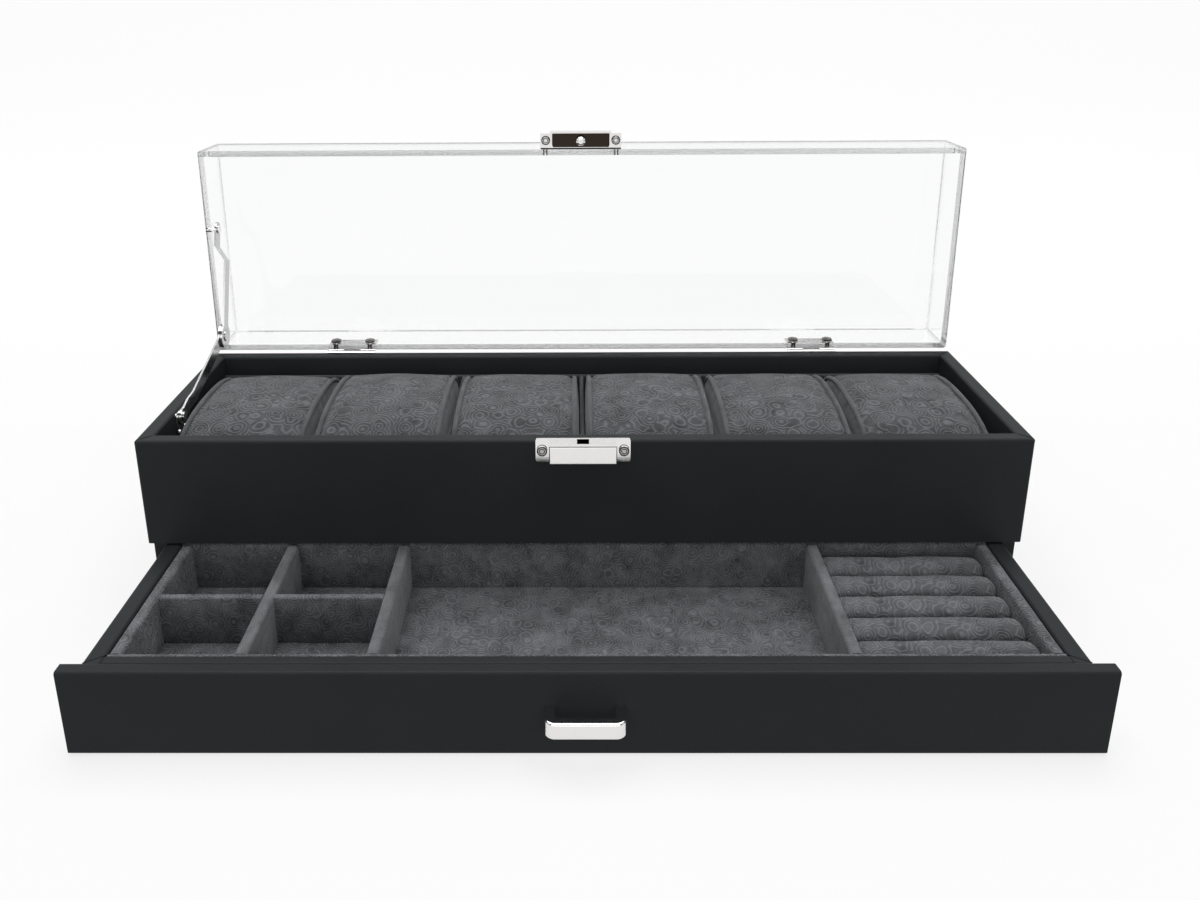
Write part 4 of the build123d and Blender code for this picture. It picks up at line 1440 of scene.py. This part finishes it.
        # painted shade: two dark rings on each ear screw, at the head's edge and in its groove
        faces = [seat - Z_AXIS * self.ear_head_height for seat in seats]
        rings = screw_shade_rings("latch_ear_shade_rings", faces, Y_AXIS, self.ear_shade_ring_thread)
        self.add("latch_ear_shade_rings", rings, dark, "screw_steel")
        dress(self.finishes.acrylic, "lid_top_panel", "lid_front_wall", "lid_rear_wall", "lid_side_left",
              "lid_side_right")
        dress(self.finishes.plated, "hinge_lid_leaf_left", "hinge_lid_leaf_right", "lid_latch_housing",
              "lid_latch_stud", "stay_lid_pin")
        dress(steel, "lid_latch_fasteners")
        dress(self.finishes.post_steel, "hinge_lid_screws", "hinge_lid_nuts")


@dataclass
class LidStay:
    """The two arms that hold the lid open."""

    finishes: Finishes

    def build(self) -> None:
        """Dresses the arms."""
        dress(self.finishes.stay_steel, "stay_lower_arm", "stay_upper_arm")


@dataclass
class Drawer:
    """The drawer: covered boards, suede cells, padded floor, ring field and handle."""

    finishes: Finishes
    pad_dip: float = 0.45 * MM
    pad_columns: int = 150
    pad_rows: int = 40
    fold_inset: float = 0.3 * MM
    fold_lift: float = 0.01 * MM
    fold_depth: float = 1.5 * MM

    def build(self) -> None:
        """Dresses the nodes of the drawer and lays its floor pad."""
        dress(self.finishes.leatherette, "drawer_front_panel", "drawer_inner_front", "drawer_side_left",
              "drawer_side_right", "drawer_rear", "drawer_bottom")
        dress(self.finishes.lining_suede, "lining_front", "lining_rear", "lining_left", "lining_right",
              "ring_base", "divider_cross")
        dress(self.finishes.divider_suede, "divider_compartments", "divider_rings", "divider_column")
        dress(self.finishes.plated, "drawer_handle")
        dress(self.finishes.screw_steel, "handle_screws")
        self.floor_pad()
        self.mitres()

    def mitres(self) -> None:
        """Draws the fold lines of the cover where the drawer's sides meet its inner front."""
        side_low, side_high = corners_of("drawer_side_left")
        front_low, front_high = corners_of("drawer_inner_front")
        top = side_high.z + self.fold_lift
        inset = self.fold_inset
        line = [(side_low.x + inset, front_low.y + inset, top), (side_high.x, front_high.y, top),
                (side_high.x, front_high.y, top - self.fold_depth)]
        lines = [[Vector((side * x, y, z)) for x, y, z in line] for side in BOTH]
        draw_folds("drawer_mitres", lines, self.finishes.seam, "drawer")

    def floor_pad(self) -> None:
        """Lays a padded floor whose suede dips a little between the dividers."""
        low, high = corners_of("drawer_floor_pad")

        def surface(u: float, v: float) -> Vector:
            """A point of the pad's top, by its shares of the length and the width."""
            x = low.x + (high.x - low.x) * u
            y = low.y + (high.y - low.y) * v
            wave = noise.noise(Vector((x * 38, y * 38, 1.7)))
            wave += 0.4 * noise.noise(Vector((x * 120, y * 120, 5.1)))
            return Vector((x, y, high.z - self.pad_dip * (0.5 + 0.5 * max(-1.0, min(1.0, wave)))))

        mesh = slab_mesh("floor_pad", surface, low.z, self.pad_columns, self.pad_rows)
        piece = add_piece("floor_pad", mesh, self.finishes.lining_suede, "drawer")
        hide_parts("drawer_floor_pad")


def slab_mesh(name: str, surface: Callable[[float, float], Vector], bottom: float, columns: int,
              rows: int) -> bpy.types.Mesh:
    """A closed slab with a shaped top and a flat bottom.

    Args:
        name: The mesh's name.
        surface: The top as a function of two shares from 0 to 1.
        bottom: The height of the bottom.
        columns: Faces along the first share.
        rows: Faces along the second share.

    Returns:
        The mesh.
    """
    points = [surface(i / columns, j / rows) for i in range(columns + 1) for j in range(rows + 1)]
    top = [[i * (rows + 1) + j for j in range(rows + 1)] for i in range(columns + 1)]
    faces = [(top[i][j], top[i + 1][j], top[i + 1][j + 1], top[i][j + 1])
             for i in range(columns) for j in range(rows)]
    rim = [top[i][0] for i in range(columns)]
    rim += [top[columns][j] for j in range(rows)]
    rim += [top[i][rows] for i in range(columns, 0, -1)]
    rim += [top[0][j] for j in range(rows, 0, -1)]
    base = range(len(points), len(points) + len(rim))
    points += [Vector((points[index].x, points[index].y, bottom)) for index in rim]
    for step in range(len(rim)):
        after = (step + 1) % len(rim)
        faces.append((rim[step], base[step], base[after], rim[after]))
    faces.append(tuple(base))
    return solid_mesh(name, points, faces, smooth=False)


@dataclass
class Studio:
    """The pale floor with its rising backdrop, the lights and the camera."""

    finishes: Finishes
    floor_half_width: float = 3.0
    floor_front: float = -2.2
    floor_back: float = 1.1
    sweep: float = 0.9
    wall_top: float = 3.2
    flag_half_width: float = 1.5
    flag_reach: float = 1.25
    world_strength: float = 0.26
    camera_place: Triple = (-0.0029, -0.3835, 0.2382)
    camera_turn: Triple = (-0.501, 17.472, -0.359)
    lens: float = 30.52
    sensor: float = 36.0
    shift: Span = (0.0283, -0.1326)
    clip: Span = (0.01, 50.0)

    def build(self) -> None:
        """Builds the stage, the lights and the camera."""
        self.backdrop()
        self.flag()
        self.lights()
        self.camera()

    def sheet(self, name: str, outline: Sequence[Span], half_width: float,
              material: bpy.types.Material) -> bpy.types.Object:
        """Hangs a sheet of the stage.

        Args:
            name: Its name.
            outline: Its side view, as points of y and z.
            half_width: Half of its width.
            material: Its finish.

        Returns:
            The object.
        """
        points = [(side * half_width, y, z) for y, z in outline for side in BOTH]
        faces = [(2 * step, 2 * step + 1, 2 * step + 3, 2 * step + 2) for step in range(len(outline) - 1)]
        mesh = bpy.data.meshes.new(name)
        mesh.from_pydata(points, [], faces)
        mesh.materials.append(material)
        sheet = bpy.data.objects.new(name, mesh)
        bpy.context.scene.collection.objects.link(sheet)
        sheet.visible_diffuse = False
        return sheet

    def backdrop(self) -> None:
        """A floor that rises into a wall behind the box."""
        angles = (math.radians(90) * step / 16 for step in range(17))
        outline = [(self.floor_front, 0.0)]
        outline += [(self.floor_back + self.sweep * math.sin(angle), self.sweep * (1 - math.cos(angle)))
                    for angle in angles]
        outline.append((self.floor_back + self.sweep, self.wall_top))
        self.sheet("backdrop", outline, self.floor_half_width, self.finishes.stage).data.shade_smooth()

    def flag(self) -> None:
        """Hangs a dark cloth in front, which only polished surfaces see, so that metal shows its form."""
        angles = [math.radians(34 + 4 * step) for step in range(9)]
        outline = [(-self.flag_reach * math.cos(angle), self.flag_reach * math.sin(angle))
                   for angle in angles]
        cloth = self.sheet("flag", outline, self.flag_half_width, self.finishes.felt)
        cloth.visible_camera = False
        cloth.visible_shadow = False
        cloth.visible_transmission = False

    def area(self, name: str, place: Triple, target: Triple, size: Span, power: float) -> None:
        """Hangs one soft light.

        Args:
            name: The light's name.
            place: Where it hangs.
            target: What it faces.
            size: Its width and height.
            power: Its power in watts.
        """
        data = bpy.data.lights.new(name, "AREA")
        data.shape = "RECTANGLE"
        data.size, data.size_y = size
        data.energy = power
        light = bpy.data.objects.new(name, data)
        light.location = place
        light.rotation_euler = (Vector(target) - Vector(place)).to_track_quat("-Z", "Y").to_euler()
        bpy.context.scene.collection.objects.link(light)

    def lights(self) -> None:
        """Sets the world and the soft lights."""
        scene = bpy.context.scene
        scene.view_settings.view_transform = "Standard"
        scene.view_settings.look = "None"
        world = bpy.data.worlds.new("studio")
        world.use_nodes = True
        background = world.node_tree.nodes["Background"]
        background.inputs["Color"].default_value = (1.0, 1.0, 1.0, 1.0)
        background.inputs["Strength"].default_value = self.world_strength
        scene.world = world
        self.area("overhead", (0.0, 0.1, 1.5), (0.0, 0.0, 0.0), (1.8, 1.3), 32.0)
        self.area("front_key", (0.0, -1.7, 0.55), (0.0, 0.0, 0.05), (2.4, 0.9), 13.2)
        for name, side in (("left_fill", -1), ("right_fill", 1)):
            self.area(name, (side * 1.4, -0.7, 0.9), (0.0, 0.0, 0.1), (0.9, 0.9), 2.0)
        self.area("back_wash", (0.0, 0.5, 1.6), (0.0, 2.0, 0.8), (2.4, 0.6), 7.0)

    def camera(self) -> None:
        """Places the camera at the measured viewpoint."""
        yaw, pitch, roll = (math.radians(angle) for angle in self.camera_turn)
        forward = Vector((math.sin(yaw) * math.cos(pitch), math.cos(yaw) * math.cos(pitch), -math.sin(pitch)))
        right = Vector((math.cos(yaw), -math.sin(yaw), 0.0))
        up = right.cross(forward)
        tilted_right = right * math.cos(roll) + up * math.sin(roll)
        tilted_up = up * math.cos(roll) - right * math.sin(roll)
        turn = Matrix((tilted_right, tilted_up, -forward)).transposed()
        data = bpy.data.cameras.new("camera")
        data.lens = self.lens
        data.sensor_width = self.sensor
        data.shift_x, data.shift_y = self.shift
        data.clip_start, data.clip_end = self.clip
        camera = bpy.data.objects.new("camera", data)
        camera.matrix_world = Matrix.Translation(self.camera_place) @ turn.to_4x4()
        bpy.context.scene.collection.objects.link(camera)
        bpy.context.scene.camera = camera


def main() -> None:
    """Builds the box, its padding and the studio."""
    logging.basicConfig(level=logging.INFO, format="%(name)s: %(message)s")
    finishes = Finishes()
    for part in (Case(finishes), Lid(finishes), LidStay(finishes), Drawer(finishes)):
        part.build()
    padding = (WatchPillows(finishes), RingRolls(finishes))
    stuffing = Stuffing()
    for part in padding:
        part.start(stuffing)
    stuffing.run()
    for part in padding:
        part.finish()
    Studio(finishes).build()


if __name__ == "__main__":
    main()
